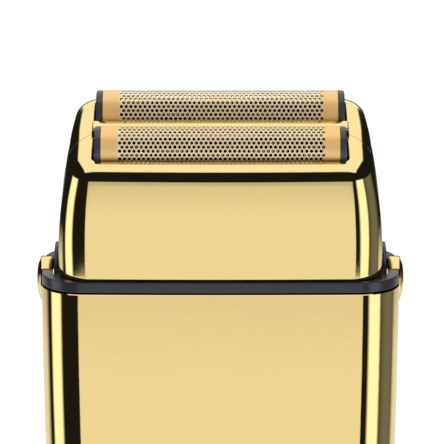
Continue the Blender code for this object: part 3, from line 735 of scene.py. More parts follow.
@dataclass
class HeadCover:
    """The polished cover with its two foil slots and the bar between them."""

    half_width: float = 28.8
    half_depth: float = 11.5
    top_half_width: float = 26.9
    top_half_depth: float = 13.4
    corner: float = 5.5
    top_corner: float = 4.2
    flat_corner: float = 1.4
    side_fall: float = 2.6
    rear_taper: float = 0.05
    crown: float = 0.4
    bulge: float = 0.22
    wall: float = 1.0
    edge_side: float = 4.0
    edge_face: float = 3.9
    edge_drop: float = 3.0
    shift: float = 0.4
    foot_drop: float = 0.15
    slot_half_length: float = 22.55
    slot_half_width: float = 4.0
    slot_corner: float = 1.0
    slot_edge: float = 0.18
    bar_half_width: float = 1.3
    bar_rise: float = 1.32
    bar_edge: float = 0.35
    bar_ramp: float = 0.35
    wall_steps: int = 22
    edge_steps: int = 18

    def edge_ring(self, share: float, inset: float) -> Ring:
        """One ring of the rounded edge of the deck.

        Args:
            share: 0 where the wall ends and 1 on the flat of the deck.
            inset: How far inside the outer surface.

        Returns:
            The ring, whose front stops short of upright and whose back goes past it.
        """
        ring = []
        side, face, drop = self.edge_side - inset, self.edge_face - inset, self.edge_drop - inset
        flat = outline(
            self.top_half_width - self.edge_side,
            self.top_half_depth - self.edge_face,
            self.flat_corner,
            self.crown,
        )
        full = outline(self.top_half_width, self.top_half_depth, self.top_corner, self.crown)
        for (u, v), (wide_u, wide_v) in zip(flat, full):
            lean = max(-1.0, min(1.0, wide_v / self.top_half_depth))
            wide_u *= 1 - self.rear_taper * max(0.0, lean) ** 1.5
            turn = (pi / 2 + DECK.tilt * lean) * (1 - share)
            across = Vector(((wide_u - u) / self.edge_side * side, (wide_v - v) / self.edge_face * face))
            rise = -inset - drop * (1 - cos(turn))
            place = Vector((u + across.x * sin(turn), v + across.y * sin(turn) + self.shift, rise))
            ring.append(DECK.frame() @ place)
        return ring

    def wall_ring(self, t: float, inset: float) -> Ring:
        """One ring of the wall.

        Args:
            t: 0 at the level bottom and 1 where the edge of the deck begins.
            inset: How far inside the outer surface.

        Returns:
            The ring.
        """
        low = box_mm("head_cover")[0].z - self.foot_drop
        foot = outline(self.half_width - inset, self.half_depth - inset, self.corner - inset, self.crown)
        ring = []
        for (x, y), top in zip(foot, self.edge_ring(0.0, inset)):
            swell = self.bulge * sin(pi * t) * y / self.half_depth
            across = x + (top.x - x) * t**self.side_fall
            ring.append(Vector((across, y + (top.y - y) * t + swell, low + (top.z - low) * t)))
        return ring

    def surface(self, inset: float) -> list[Ring]:
        """All rings of the outer surface, or of one inside it, from the bottom up."""
        walls = [self.wall_ring(i / self.wall_steps, inset) for i in range(self.wall_steps)]
        edges = [self.edge_ring(i / self.edge_steps, inset) for i in range(self.edge_steps + 1)]
        return walls + edges

    def body_rings(self) -> list[Ring]:
        """All rings, from the inner deck down the inside and up the outside to the outer deck."""
        outer = self.surface(0.0)
        foot = self.wall_ring(0.0, 0.12)
        outer[0] = [point + Vector((0, 0, 0.12)) for point in outer[0]]
        return self.surface(self.wall)[::-1] + [foot] + outer

    def slot_cut(self, row: float) -> BMesh:
        """The cutter of one slot, which flares where it leaves the deck."""
        rings = []
        heights = [(self.slot_edge, 1.0)] + rounding(self.slot_edge, 0.0, -1)[1:] + [(0.0, -3 * self.wall)]
        for flare, rise in heights:
            points = outline(
                self.slot_half_length + flare, self.slot_half_width + flare, self.slot_corner + flare, 0.0, 6, 1, 1
            )
            rings.append(DECK.ring(points, rise, row))
        shape = bmesh.new()
        _, top, _, bottom = skin(shape, rings)
        cap(shape, top)
        cap(shape, bottom)
        return shape

    def bar(self) -> BMesh:
        """The raised bar between the foils, on the deck."""
        half, edge = self.bar_half_width, self.bar_edge
        turns = [pi / 2 * i / 5 for i in range(6)]
        right = [(half - edge + edge * cos(t), self.bar_rise - edge + edge * sin(t)) for t in turns]
        section = [(half, -0.3)] + right + [(-v, n) for v, n in right[::-1]] + [(-half, -0.3)]
        ramp = [pi / 2 * i / 8 for i in range(9)]
        ends = [(self.slot_half_length + self.bar_ramp * cos(t), max(0.01, sin(t))) for t in ramp]
        rings = []
        for reach, share in [(-u, share) for u, share in ends] + ends[::-1]:
            points = [Vector((reach, ROWS_MIDDLE + v, n * share if n > 0 else n)) for v, n in section]
            rings.append([DECK.frame() @ point for point in points])
        shape = bmesh.new()
        _, start, _, end = skin(shape, rings)
        cap(shape, start)
        cap(shape, end)
        return shape

    def build(self) -> None:
        """Build and publish the cover and its bar."""
        shape = bmesh.new()
        _, inner, _, outer = skin(shape, self.body_rings())
        cap(shape, inner)
        cap(shape, outer)
        slots = [self.slot_cut(row) for row in ROWS.values()]
        cover = publish(shape, "cover_shell", GOLD_COVER, "cover", ["head_cover"], sharp=50, cuts=slots)
        even_normals(cover)
        publish(self.bar(), "cover_bar", GOLD, "cover", ["head_cover"], sharp=60)


@dataclass
class FoilUnit:
    """One arched foil with its field of holes, and the moulded caps at its ends."""

    row: str
    radius: float = 3.7
    axis: float = 0.3
    foot: float = -2.2
    length: float = 42.0
    sheet: float = 0.07
    pitch: float = 0.84
    hole: float = 0.31
    hole_columns: int = 21
    hole_rows: int = 10
    cap_low: float = -4.3
    cap_step: float = -3.1
    cap_toe: float = 0.95
    cap_thick: float = 1.2
    chamfer: float = 0.35

    def cell_row(self, shape: BMesh, holed: bool) -> list:
        """One row of six-sided cells along X.

        Args:
            shape: The flat sheet.
            holed: Whether the middle cells have their hole.

        Returns:
            The geometry of the row.
        """
        corner = self.pitch / 3**0.5
        reach = int(self.length / 2 / self.pitch) + 2
        before = set(shape.faces)
        for column in range(-reach, reach + 1):
            at = Matrix.Translation((column * self.pitch, 0, 0))
            made = bmesh.ops.create_circle(shape, cap_ends=True, segments=12, radius=corner, matrix=at)
            face = made["verts"][0].link_faces[0]
            centre = at.translation
            for vert in made["verts"]:
                arm = vert.co - centre
                if round(abs(arm.angle(Vector((0, 1, 0)))) / (pi / 6)) % 2:
                    vert.co = centre + arm.normalized() * self.pitch / 2
            if holed and abs(column) <= self.hole_columns:
                bmesh.ops.inset_individual(shape, faces=[face], thickness=self.pitch * 0.1)
                for vert in face.verts:
                    vert.co = centre + (vert.co - centre).normalized() * self.hole
                bmesh.ops.delete(shape, geom=[face], context="FACES_ONLY")
        faces = [face for face in shape.faces if face not in before]
        edges = {edge for face in faces for edge in face.edges}
        verts = {vert for face in faces for vert in face.verts}
        return [*verts, *edges, *faces]

    def sheet_shape(self) -> BMesh:
        """The foil as a flat sheet of cells, trimmed to size."""
        shape = bmesh.new()
        rise = self.pitch * 3**0.5 / 2
        half = pi / 2 * self.radius + self.axis - self.foot
        templates = {holed: self.cell_row(shape, holed) for holed in (True, False)}
        last = int(half / rise) + 1
        for index in range(-last, last + 1):
            template = templates[abs(index) <= self.hole_rows]
            copy = bmesh.ops.duplicate(shape, geom=template)["geom"]
            verts = [item for item in copy if isinstance(item, BMVert)]
            shift = Vector((self.pitch / 2 * (index % 2), index * rise, 0))
            bmesh.ops.translate(shape, verts=verts, vec=shift)
        waste = [item for template in templates.values() for item in template if isinstance(item, BMVert)]
        bmesh.ops.delete(shape, geom=waste, context="VERTS")
        bmesh.ops.remove_doubles(shape, verts=shape.verts, dist=0.01)
        for direction, reach in (((1, 0, 0), self.length / 2), ((0, 1, 0), half)):
            for way in (1, -1):
                normal = Vector(direction) * way
                geometry = shape.verts[:] + shape.edges[:] + shape.faces[:]
                bmesh.ops.bisect_plane(
                    shape, geom=geometry, dist=0.0001, plane_co=normal * reach, plane_no=normal, clear_outer=True
                )
        wide = [face for face in shape.faces if len(face.verts) > 4]
        bmesh.ops.poke(shape, faces=wide)
        return shape

    def bend(self, point: Vector) -> Vector:
        """Bend a point of the flat sheet over the arch and into its row of the deck."""
        quarter = pi / 2 * self.radius
        radius = self.radius + point.z
        along = max(-quarter, min(quarter, point.y))
        beyond = abs(point.y) - abs(along)
        v = radius * sin(along / self.radius)
        n = self.axis + radius * cos(along / self.radius) - beyond
        return DECK.frame() @ Vector((point.x, v + ROWS[self.row], n))

    def build_foil(self) -> None:
        """Build and publish the perforated foil."""
        shape = self.sheet_shape()
        made = bmesh.ops.extrude_face_region(shape, geom=shape.faces[:], use_keep_orig=True)["geom"]
        under = [item for item in made if isinstance(item, BMVert)]
        bmesh.ops.translate(shape, verts=under, vec=(0, 0, -self.sheet))
        for vert in shape.verts:
            vert.co = self.bend(vert.co)
        publish(
            shape, f"foil_sheet_{self.row}", FOIL_GOLD, f"foil_{self.row}", [f"foil_{self.row}"], sharp=40
        )

    def build_caps(self) -> None:
        """Build and publish the two end caps."""
        half = self.radius
        inward = -1 if ROWS[self.row] > 0 else 1
        arch = [(half * cos(pi * i / 28), self.axis + half * sin(pi * i / 28)) for i in range(29)]
        reach = half + self.cap_toe
        toe = [(0, self.cap_low), (reach, self.cap_low), (reach, self.cap_step), (half, self.cap_step)]
        profile = [(v * inward, n) for v, n in toe + arch + [(-half, self.cap_step), (0, self.cap_step)]]
        for side, sign in SIDES.items():
            shape = bmesh.new()
            rings = []
            for out in (self.length / 2 + 0.1, self.length / 2 + self.cap_thick):
                points = [Vector((sign * out, v + ROWS[self.row], n)) for v, n in profile]
                rings.append([DECK.frame() @ point for point in points])
            _, near, _, far = skin(shape, rings)
            cap(shape, near)
            cap(shape, far)
            bmesh.ops.dissolve_limit(
                shape, angle_limit=radians(1), verts=shape.verts, edges=[e for e in shape.edges if e.is_manifold]
            )
            rims = [e for e in shape.edges if e.is_manifold and e.calc_face_angle() > radians(75)]
            outer = [e for e in rims if all(abs(v.co.x) > self.length / 2 + 0.8 for v in e.verts)]
            soften(shape, outer, self.chamfer, 2)
            name = f"foil_cap_{self.row}_{side}"
            publish(shape, f"end_cap_{self.row}_{side}", CAP_BLACK, f"foil_{self.row}", [name])

    def build(self) -> None:
        """Build the foil and its caps."""
        self.build_foil()
        self.build_caps()


@dataclass
class Cutter:
    """One inner cutter: thin arched blades on two rails and a spine."""

    row: str
    radius: float = 3.25
    bore: float = 2.15
    axis: float = 0.3
    foot: float = -1.9
    length: float = 37.0
    blade_pitch: float = 0.8
    blade_thick: float = 0.2

    def arch(self, u: float, radius: float, steps: int = 14) -> Ring:
        """The points of an arch at one place along the cutter."""
        turns = [pi * i / steps for i in range(steps + 1)]
        points = [(radius, self.foot)] + [(radius * cos(t), self.axis + radius * sin(t)) for t in turns]
        points.append((-radius, self.foot))
        return [DECK.frame() @ Vector((u, v + ROWS[self.row], n)) for v, n in points]

    def build(self) -> None:
        """Build and publish the blades and the core."""
        blades = bmesh.new()
        count = int(self.length / self.blade_pitch)
        for i in range(count):
            u = (i - (count - 1) / 2) * self.blade_pitch
            ends = [u - self.blade_thick / 2, u + self.blade_thick / 2]
            ring = [self.arch(end, self.radius) + self.arch(end, self.bore)[::-1] for end in ends]
            _, near, _, far = skin(blades, ring)
            cap(blades, near)
            cap(blades, far)
        body, node = f"cutter_{self.row}", f"cutter_{self.row}"
        publish(blades, f"blades_{self.row}", BLADE_STEEL, body, [node])
        core = bmesh.new()
        for way in (-1, 1):
            low = Vector((-self.length / 2, ROWS[self.row] + way * 2.65 - 0.45, self.foot))
            high = Vector((self.length / 2, ROWS[self.row] + way * 2.65 + 0.45, self.foot + 1.1))
            self.add_bar(core, low, high)
        low = Vector((-5.0, ROWS[self.row] - 2.5, self.foot))
        self.add_bar(core, low, Vector((5.0, ROWS[self.row] + 2.5, 0.2)))
        bmesh.ops.transform(core, matrix=DECK.frame(), verts=core.verts)
        publish(core, f"cutter_core_{self.row}", CORE_BLACK, body)

    @staticmethod
    def add_bar(shape: BMesh, low: Vector, high: Vector) -> None:
        """Add a bar with softened edges to the core."""
        made = bmesh.ops.create_cube(
            shape, size=1, matrix=Matrix.Translation((low + high) / 2) @ Matrix.Diagonal((*(high - low), 1))
        )["verts"]
        soften(shape, list({edge for vert in made for edge in vert.link_edges}), 0.15, 2)


# ---------------------------------------------------------------- the shoulder


@dataclass
class Shoulder:
    """The glossy band at the shoulder."""

    half_width: float = 31.9
    half_depth: float = 12.3
    corner: float = 7.5
    crown: float = 0.4
    edge: float = 0.2
    opening: tuple[float, float, float] = (27.0, 9.8, 4.5)
    button_height: float = 115.9

    def build(self) -> None:
        """Build and publish the band."""
        low, high = (corner.z for corner in box_mm("shoulder_band"))
        rings = [level(outline(*self.opening, 0.3), low)]
        for inset, height in rounding(self.edge, low, 1):
            rings.append(self.outer(inset, height))
        for inset, height in reversed(rounding(self.edge, high, -1)):
            rings.append(self.outer(inset, height))
        rings.append(level(outline(*self.opening, 0.3), high))
        shape = bmesh.new()
        _, start, _, end = skin(shape, rings)
        bmesh.ops.bridge_loops(shape, edges=start + end)
        cuts = []
        for sign in SIDES.values():
            cuts.append(rod((sign * 32.5, 0, self.button_height), 4.4, 9.2, TO_X))
            cuts.append(rod((sign * 29.4, 0, self.button_height), 6.9, 1.2, TO_X, 64))
            cuts.append(rod((sign * 28, 0, self.button_height), 2.1, 6, TO_X, 24))
        even_normals(publish(shape, "band", GLOSS_BLACK, "handle", ["shoulder_band"], cuts=cuts))

    def outer(self, inset: float, height: float) -> Ring:
        """A ring of the band's outside."""
        points = outline(self.half_width - inset, self.half_depth - inset, self.corner - inset, self.crown)
        return level(points, height)


@dataclass
class ReleaseButton:
    """A release button with its bezel plate, latch and return spring."""

    side: str
    radius: float = 4.05
    inner: float = 30.1
    face: float = 32.3
    dome: float = 0.7
    stem_radius: float = 1.7
    stem_inner: float = 25.3
    height: float = 115.9
    bezel_radius: float = 6.6
    bezel_bore: float = 4.4

    def aim(self) -> Matrix:
        """Turn a shape from +Z to point out of this side, at the button's height."""
        sign = SIDES[self.side]
        return Matrix.Translation((0, 0, self.height)) @ Matrix.Rotation(sign * pi / 2, 4, "Y")

    def build(self) -> None:
        """Build and publish the pieces."""
        sign = SIDES[self.side]
        turns = [pi / 2 * i / 10 for i in range(10)]
        dome = [(3.35 * sin(turn), self.face + self.dome * cos(turn) ** 0.9 * 0.98) for turn in turns]
        rim = [(3.35, self.face + 0.02), (3.42, self.face - 0.12), (3.56, self.face - 0.12), (3.62, self.face + 0.08)]
        rim += [(3.80, self.face + 0.05), (3.97, self.face - 0.08), (self.radius, self.face - 0.3)]
        back = [(self.radius, self.inner + 0.1), (self.radius - 0.1, self.inner), (self.stem_radius, self.inner)]
        back += [(self.stem_radius, self.stem_inner), (0, self.stem_inner)]
        button = turned(dome + rim + back, 64)
        bmesh.ops.transform(button, matrix=self.aim(), verts=button.verts)
        body = f"release_{self.side}"
        publish(button, f"button_{self.side}", GOLD, body, [f"release_button_{self.side}"], sharp=50)
        plate_low, plate_high = 29.05, 29.65
        bore, rim = self.bezel_bore, self.bezel_radius
        ring = [(bore, plate_low), (rim - 0.1, plate_low), (rim, plate_low + 0.1)]
        ring += [(rim, plate_high - 0.1), (rim - 0.1, plate_high), (bore, plate_high)]
        bezel = self.turned_ring(ring)
        publish(bezel, f"bezel_{self.side}", GLOSS_BLACK, "handle", [f"button_bezel_{self.side}"])
        latch = block((min(sign * 24.0, sign * 25.0), -2.8, 104.5), (max(sign * 24.0, sign * 25.0), 2.8, 123.4), 0.15)
        nose = block((min(sign * 24.4, sign * 25.6), -2.5, 122.0), (max(sign * 24.4, sign * 25.6), 2.5, 123.1), 0.12)
        joined = join(latch, nose)
        publish(joined, f"latch_{self.side}", STEEL, body, [f"release_latch_{self.side}"])
        self.build_spring(sign)

    def turned_ring(self, ring: Sequence[tuple[float, float]]) -> BMesh:
        """A closed (radius, height) section turned about the button's axis."""
        shape = bmesh.new()
        verts, edges = loop(shape, [Vector((r, 0, h)) for r, h in ring])
        bmesh.ops.spin(shape, geom=verts + edges, axis=(0, 0, 1), cent=(0, 0, 0), angle=2 * pi, steps=72,
                       use_merge=True, use_duplicate=False)
        bmesh.ops.transform(shape, matrix=self.aim(), verts=shape.verts)
        return shape

    def build_spring(self, sign: int) -> None:
        """The return spring behind the latch, on no body."""
        start = sign * 19.8
        points = coil(1.6, 3.6, 3)
        run = [Vector((start + sign * p.z, p.y, 108.5 + p.x)) for p in points]
        spring = tube(run, [0.22] * len(run), 8)
        obj = publish(spring, f"return_spring_{self.side}", STEEL, None, [f"latch_spring_{self.side}"])
        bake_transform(obj)


def join(*shapes: BMesh) -> BMesh:
    """One mesh that holds several."""
    whole = shapes[0]
    for shape in shapes[1:]:
        mesh = bpy.data.meshes.new("joined")
        shape.to_mesh(mesh)
        shape.free()
        whole.from_mesh(mesh)
        bpy.data.meshes.remove(mesh)
    return whole


def coil(radius: float, length: float, turns: int, per_turn: int = 24) -> Ring:
    """Points of a helix that climbs Z from 0."""
    count = turns * per_turn
    return [
        Vector((radius * cos(2 * pi * i / per_turn), radius * sin(2 * pi * i / per_turn), length * i / count))
        for i in range(count + 1)
    ]


# ---------------------------------------------------------------- the handle


@dataclass
class Handle:
    """The two polished shells, the base cap and its screws."""

    top: float = 116.3
    base_half_width: float = 27.8
    base_half_depth: float = 12.0
    band_half_width: float = 31.9
    band_half_depth: float = 12.3
    swell: float = 1.2
    corner: float = 7.5
    crown: float = 0.4
    wall: float = 1.4
    cap_top: float = 6.0
    seam: float = 0.12
    button_height: float = 115.9
    rows: int = 26

    def size(self, height: float) -> tuple[float, float]:
        """Half width and half depth at a height."""
        t = height / self.top
        half_width = self.base_half_width + (self.band_half_width - self.base_half_width) * sin(t * pi / 2)
        half_depth = self.base_half_depth + (self.band_half_depth - self.base_half_depth) * t
        return half_width, half_depth + self.swell * sin(t * pi)

    def face(self, height: float) -> float:
        """The y of the middle of the front at a height."""
        return -self.size(height)[1] - self.crown

    def half_ring(self, height: float, way: int, inset: float) -> Ring:
        """Half of a ring, in front (way -1) or behind (way 1)."""
        half_width, half_depth = self.size(height)
        ring = outline(half_width - inset, half_depth - inset, self.corner - inset, self.crown)
        half = len(ring) // 2
        run = ring[: half + 1] if way > 0 else ring[half:] + ring[:1]
        ends = (0, len(run) - 1)
        return [Vector((x, way * self.seam / 2 if i in ends else y, height)) for i, (x, y) in enumerate(run)]

    def shell(self, way: int) -> BMesh:
        """One shell as a closed wall."""
        low, high = self.cap_top + 0.3, self.top
        heights = [low + (high - low) * i / self.rows for i in range(self.rows + 1)]
        shape = bmesh.new()
        rings = []
        for height, inset in [(low, 0.12)] + [(h, 0.0) for h in heights[1:-1]] + [(high, 0.12)]:
            outer = self.half_ring(height, way, inset)
            inner = self.half_ring(height, way, self.wall)
            rings.append(outer + inner[::-1])
        edge_low = [self.half_ring(low + 0.12, way, 0.0) + self.half_ring(low + 0.12, way, self.wall)[::-1]]
        edge_high = [self.half_ring(high - 0.12, way, 0.0) + self.half_ring(high - 0.12, way, self.wall)[::-1]]
        rings = rings[:1] + edge_low + rings[1:-1] + edge_high + rings[-1:]
        _, start, _, end = skin(shape, rings)
        cap(shape, start)
        cap(shape, end)
        return shape

    def button_cuts(self) -> list[BMesh]:
        """The notches for the release buttons."""
        return [rod((sign * 31.5, 0, self.button_height), 4.4, 6, TO_X) for sign in SIDES.values()]

    def build_shells(self, slider: "PowerSlider") -> None:
        """Build and publish both shells."""
        front_cuts = self.button_cuts() + slider.cuts(self)
        front = publish(self.shell(-1), "shell_front", GOLD, "handle", ["front_shell"], 40, front_cuts)
        rear = publish(self.shell(1), "shell_rear", GOLD, "handle", ["rear_shell"], 40, self.button_cuts())
        even_normals(front)
        even_normals(rear)

    def build_base(self) -> None:
        """Build and publish the base cap and its screws."""
        rings = []
        for inset, height in ((1.35, 0.0), (1.2, 0.0), (0.8, 0.08), (0.5, 0.25), (0.25, 0.5), (0.1, 0.8), (0.0, 1.3),
                              (0.0, 3.5), (0.0, 5.85), (0.15, self.cap_top), (0.4, self.cap_top)):
            half_width, half_depth = self.size(height)
            points = outline(half_width - inset, half_depth - inset, self.corner - inset, self.crown)
            rings.append(level(points, height))
        shape = bmesh.new()
        _, start, _, end = skin(shape, rings)
        cap(shape, start)
        cap(shape, end)
        cuts = [rod((0, 0, 3), 3.5, 12, UPRIGHT)]
        for sign in SIDES.values():
            cuts.append(rod((sign * 14.5, 0, 0), 2.5, 3.6, UPRIGHT))
            cuts.append(rod((sign * 14.5, 0, 3), 1.3, 12, UPRIGHT, 24))
        even_normals(publish(shape, "base", GLOSS_BLACK, "handle", ["base_cap"], 30, cuts))
        for side, sign in SIDES.items():
            flip = Matrix.Translation((sign * 14.5, 0, 1.5)) @ Matrix.Rotation(pi, 4, "X")
            build_screw(f"cap_screw_{side}", f"base_screw_{side}", flip, 1.1, 9.5)


def build_screw(name: str, node: str, place: Matrix, head_height: float, shank: float) -> None:
    """Build and publish a pan-head screw with a cross recess.

    Args:
        name: Name of the piece.
        node: The CAD node that it stands for.
        place: Where its seat is and which way it stands.
        head_height: Height of its head.
        shank: Length of its shank.
    """
    profile = [(0, head_height), (1.2, head_height), (1.75, head_height * 0.86), (2.1, head_height * 0.5), (2.2, 0.1)]
    profile += [(2.15, 0), (1.0, 0), (0.85, -0.4)]
    turns = int((shank - 0.8) / 0.6)
    for i in range(turns):
        z = -0.4 - 0.6 * i
        profile += [(0.85, z - 0.1), (1.0, z - 0.25), (1.0, z - 0.35), (0.85, z - 0.5)]
    profile.append((0, -shank))
    screw = turned(profile, 24)
    bmesh.ops.transform(screw, matrix=place, verts=screw.verts)
    arms = []
    for size in ((1.25, 0.28), (0.28, 1.25)):
        arm = block((-size[0], -size[1], head_height - 0.6), (size[0], size[1], head_height + 0.5))
        bmesh.ops.transform(arm, matrix=place, verts=arm.verts)
        arms.append(arm)
    publish(screw, name, STEEL, "handle", [node], 40, arms)


@dataclass
class PowerSlider:
    """The power slider, its seat, and the light below it."""

    height: float = 66.0
    travel: float = 4.0
    light_height: float = 47.0
    seat_half: tuple[float, float] = (5.5, 11.0)
    thumb_half: tuple[float, float] = (3.9, 5.6)
    ribs: int = 5

    def upright(self, handle: Handle, depth: float, height: float) -> Matrix:
        """Stand a shape that is flat across Z up against the front, at a depth behind its face."""
        place = Matrix.Translation((0, handle.face(self.height) + depth, height))
        return place @ Matrix.Rotation(pi / 2, 4, "X")

    def cuts(self, handle: Handle) -> list[BMesh]:
        """The openings in the front shell."""
        opening = plate(5.8, 11.3, 5.5, -4, 3, 0.05)
        bmesh.ops.transform(opening, matrix=self.upright(handle, 0, self.height), verts=opening.verts)
        return [opening, rod((0, handle.face(self.light_height), self.light_height), 1.5, 8, TO_Y)]

    def build(self, handle: Handle) -> None:
        """Build and publish the seat, the thumb piece and the lens."""
        seat = plate(*self.seat_half, 5.2, -1.9, -0.5, 0.25)
        bmesh.ops.transform(seat, matrix=self.upright(handle, 0, self.height), verts=seat.verts)
        face = handle.face(self.height)
        slot = block((-1.7, face - 1, self.height - 5.2), (1.7, face + 4, self.height + 5.2))
        even_normals(publish(seat, "seat", GLOSS_BLACK, "handle", ["slider_seat"], 30, [slot]))
        middle = self.height - self.travel / 2
        thumb = plate(*self.thumb_half, 2.4, -0.2, 0.9, 0.35)
        bmesh.ops.transform(thumb, matrix=self.upright(handle, 0, middle), verts=thumb.verts)
        stem = block((-1.3, face + 0.1, middle - 2.2), (1.3, face + 3.0, middle + 2.2), 0.1)
        grooves = []
        for i in range(self.ribs):
            z = middle + (i - (self.ribs - 1) / 2) * 1.5
            grooves.append(rod((0, face - 1.05, z), 0.42, 5.4, TO_X, 16))
        obj = publish(join(thumb, stem), "thumb", GOLD, "slider", ["power_slider"], 35, grooves)
        even_normals(obj)
        profile = [(0, 0.2), (0.4, 0.18), (0.8, 0.08), (1.1, -0.04), (1.2, -0.2), (1.2, -2.6), (0, -2.6)]
        lens = turned(profile, 32)
        light = Matrix.Translation((0, handle.face(self.light_height), self.light_height))
        bmesh.ops.transform(lens, matrix=light @ Matrix.Rotation(pi / 2, 4, "X"), verts=lens.verts)
        publish(lens, "light", LENS, "handle", ["light_lens"])


# ---------------------------------------------------------------- the drive


@dataclass
class Drive:
    """What shows under the lifted cover: posts, springs, leaves, seal and screws."""

    bridge_low: float = 121.6
    bridge_top: float = 123.6
    plate_top: float = 116.3
    leaf_x: float = 11.5

    def build_posts(self) -> None:
        """Build and publish the two drive posts and their springs."""
        for row, foot_y in (("front", -4.6), ("rear", 6.8)):
            place = DECK.frame()
            foot = Vector((0, foot_y, self.bridge_top + 0.3))
            bend = place @ Vector((0, ROWS[row] - 0.6, -9.0))
            shoulder = place @ Vector((0, ROWS[row], -7.05))
            top = place @ Vector((0, ROWS[row], -1.4))
            ankle = foot + Vector((0, 0, 1))
            points = [foot, foot + Vector((0, 0, 0.3)), ankle, ankle.lerp(bend, 0.5), bend, shoulder]
            points += [shoulder.lerp(top, 0.02), top.lerp(shoulder, 0.08), top]
            radii = [1.4, 1.6, 1.6, 1.6, 1.6, 1.6, 0.85, 0.85, 0.65]
            post = tube(points, radii, 24)
            publish(post, f"post_{row}", SATIN_BLACK, "bridge", [f"drive_post_{row}"])
            run = [place @ Vector((p.x, p.y + ROWS[row], p.z - 6.7)) for p in coil(1.5, 3.3, 3)]
            spring = tube(run, [0.22] * len(run), 8)
            publish(spring, f"spring_{row}", STEEL, "bridge", [f"cutter_spring_{row}"])

    def build_leaves(self) -> None:
        """Build and publish the leaf springs, which stand between the handle and the bridge, on no body."""
        low, high = self.plate_top + 0.3, self.bridge_low - 0.3
        for side, sign in SIDES.items():
            leaf = block((sign * self.leaf_x - 0.2, -4, low), (sign * self.leaf_x + 0.2, 4, high), 0.05)
            for i in range(1, 8):
                at = Vector((0, 0, low + (high - low) * i / 8))
                geometry = leaf.verts[:] + leaf.edges[:] + leaf.faces[:]
                bmesh.ops.bisect_plane(leaf, geom=geometry, dist=0.0001, plane_co=at, plane_no=(0, 0, 1))
            obj = publish(leaf, f"leaf_{side}", STEEL, None, [f"drive_leaf_{side}"])
            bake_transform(obj)

    def build_seal(self) -> None:
        """Build and publish the folded seal round the drive pin."""
        top = self.plate_top
        section = [(5.6, 1.1), (5.6, 0.3), (4.6, 0.3), (4.6, 0.7), (4.0, 1.4), (3.9, 2.2), (3.4, 2.8), (3.0, 3.2)]
        section += [(2.6, 4.0), (2.8, 4.15), (3.1, 4.0), (3.7, 3.4), (4.4, 2.8), (4.6, 2.3), (4.7, 1.8), (5.1, 1.3)]
        shape = bmesh.new()
        verts, edges = loop(shape, [Vector((r, 0, top + h)) for r, h in section])
        bmesh.ops.spin(shape, geom=verts + edges, axis=(0, 0, 1), cent=(0, 0, 0), angle=2 * pi, steps=56,
                       use_merge=True, use_duplicate=False)
        publish(shape, "seal", RUBBER, "handle", ["drive_seal"], 60)

    def build(self) -> None:
        """Build all of them."""
        self.build_posts()
        self.build_leaves()
        self.build_seal()
        for side, sign in SIDES.items():
            seat = Matrix.Translation((sign * 17.4, 7.4, self.plate_top + 0.3))
            build_screw(f"deck_screw_{side}", f"plate_screw_{side}", seat, 1.0, 7.0)


def dress_cad() -> None:
    """Give every CAD node its finish by the record's slot."""
    slots = {row["node"]: row["material_slot"] for row in frame["record"]["subparts"]}
    for name, obj in frame["nodes"].items():
        finish = CAD_FINISHES[slots[name]]
        if not obj.material_slots:
            obj.data.materials.append(finish.material())
        for holder in obj.material_slots:
            holder.material = finish.material()
    LOG.info("dressed %d nodes", len(slots))


# ---------------------------------------------------------------- studio


class Way(Enum):
    """How a panel's place is counted: round the horizon, or over the top from the front."""

    AROUND = "around"
    OVER = "over"


@dataclass(frozen=True)
class Panel:
    """A soft panel of light in the reflections, all angles in degrees."""

    way: Way
    middle: float
    half: float
    soft: float
    low: float
    high: float
    low_soft: float
    high_soft: float
    strength: float


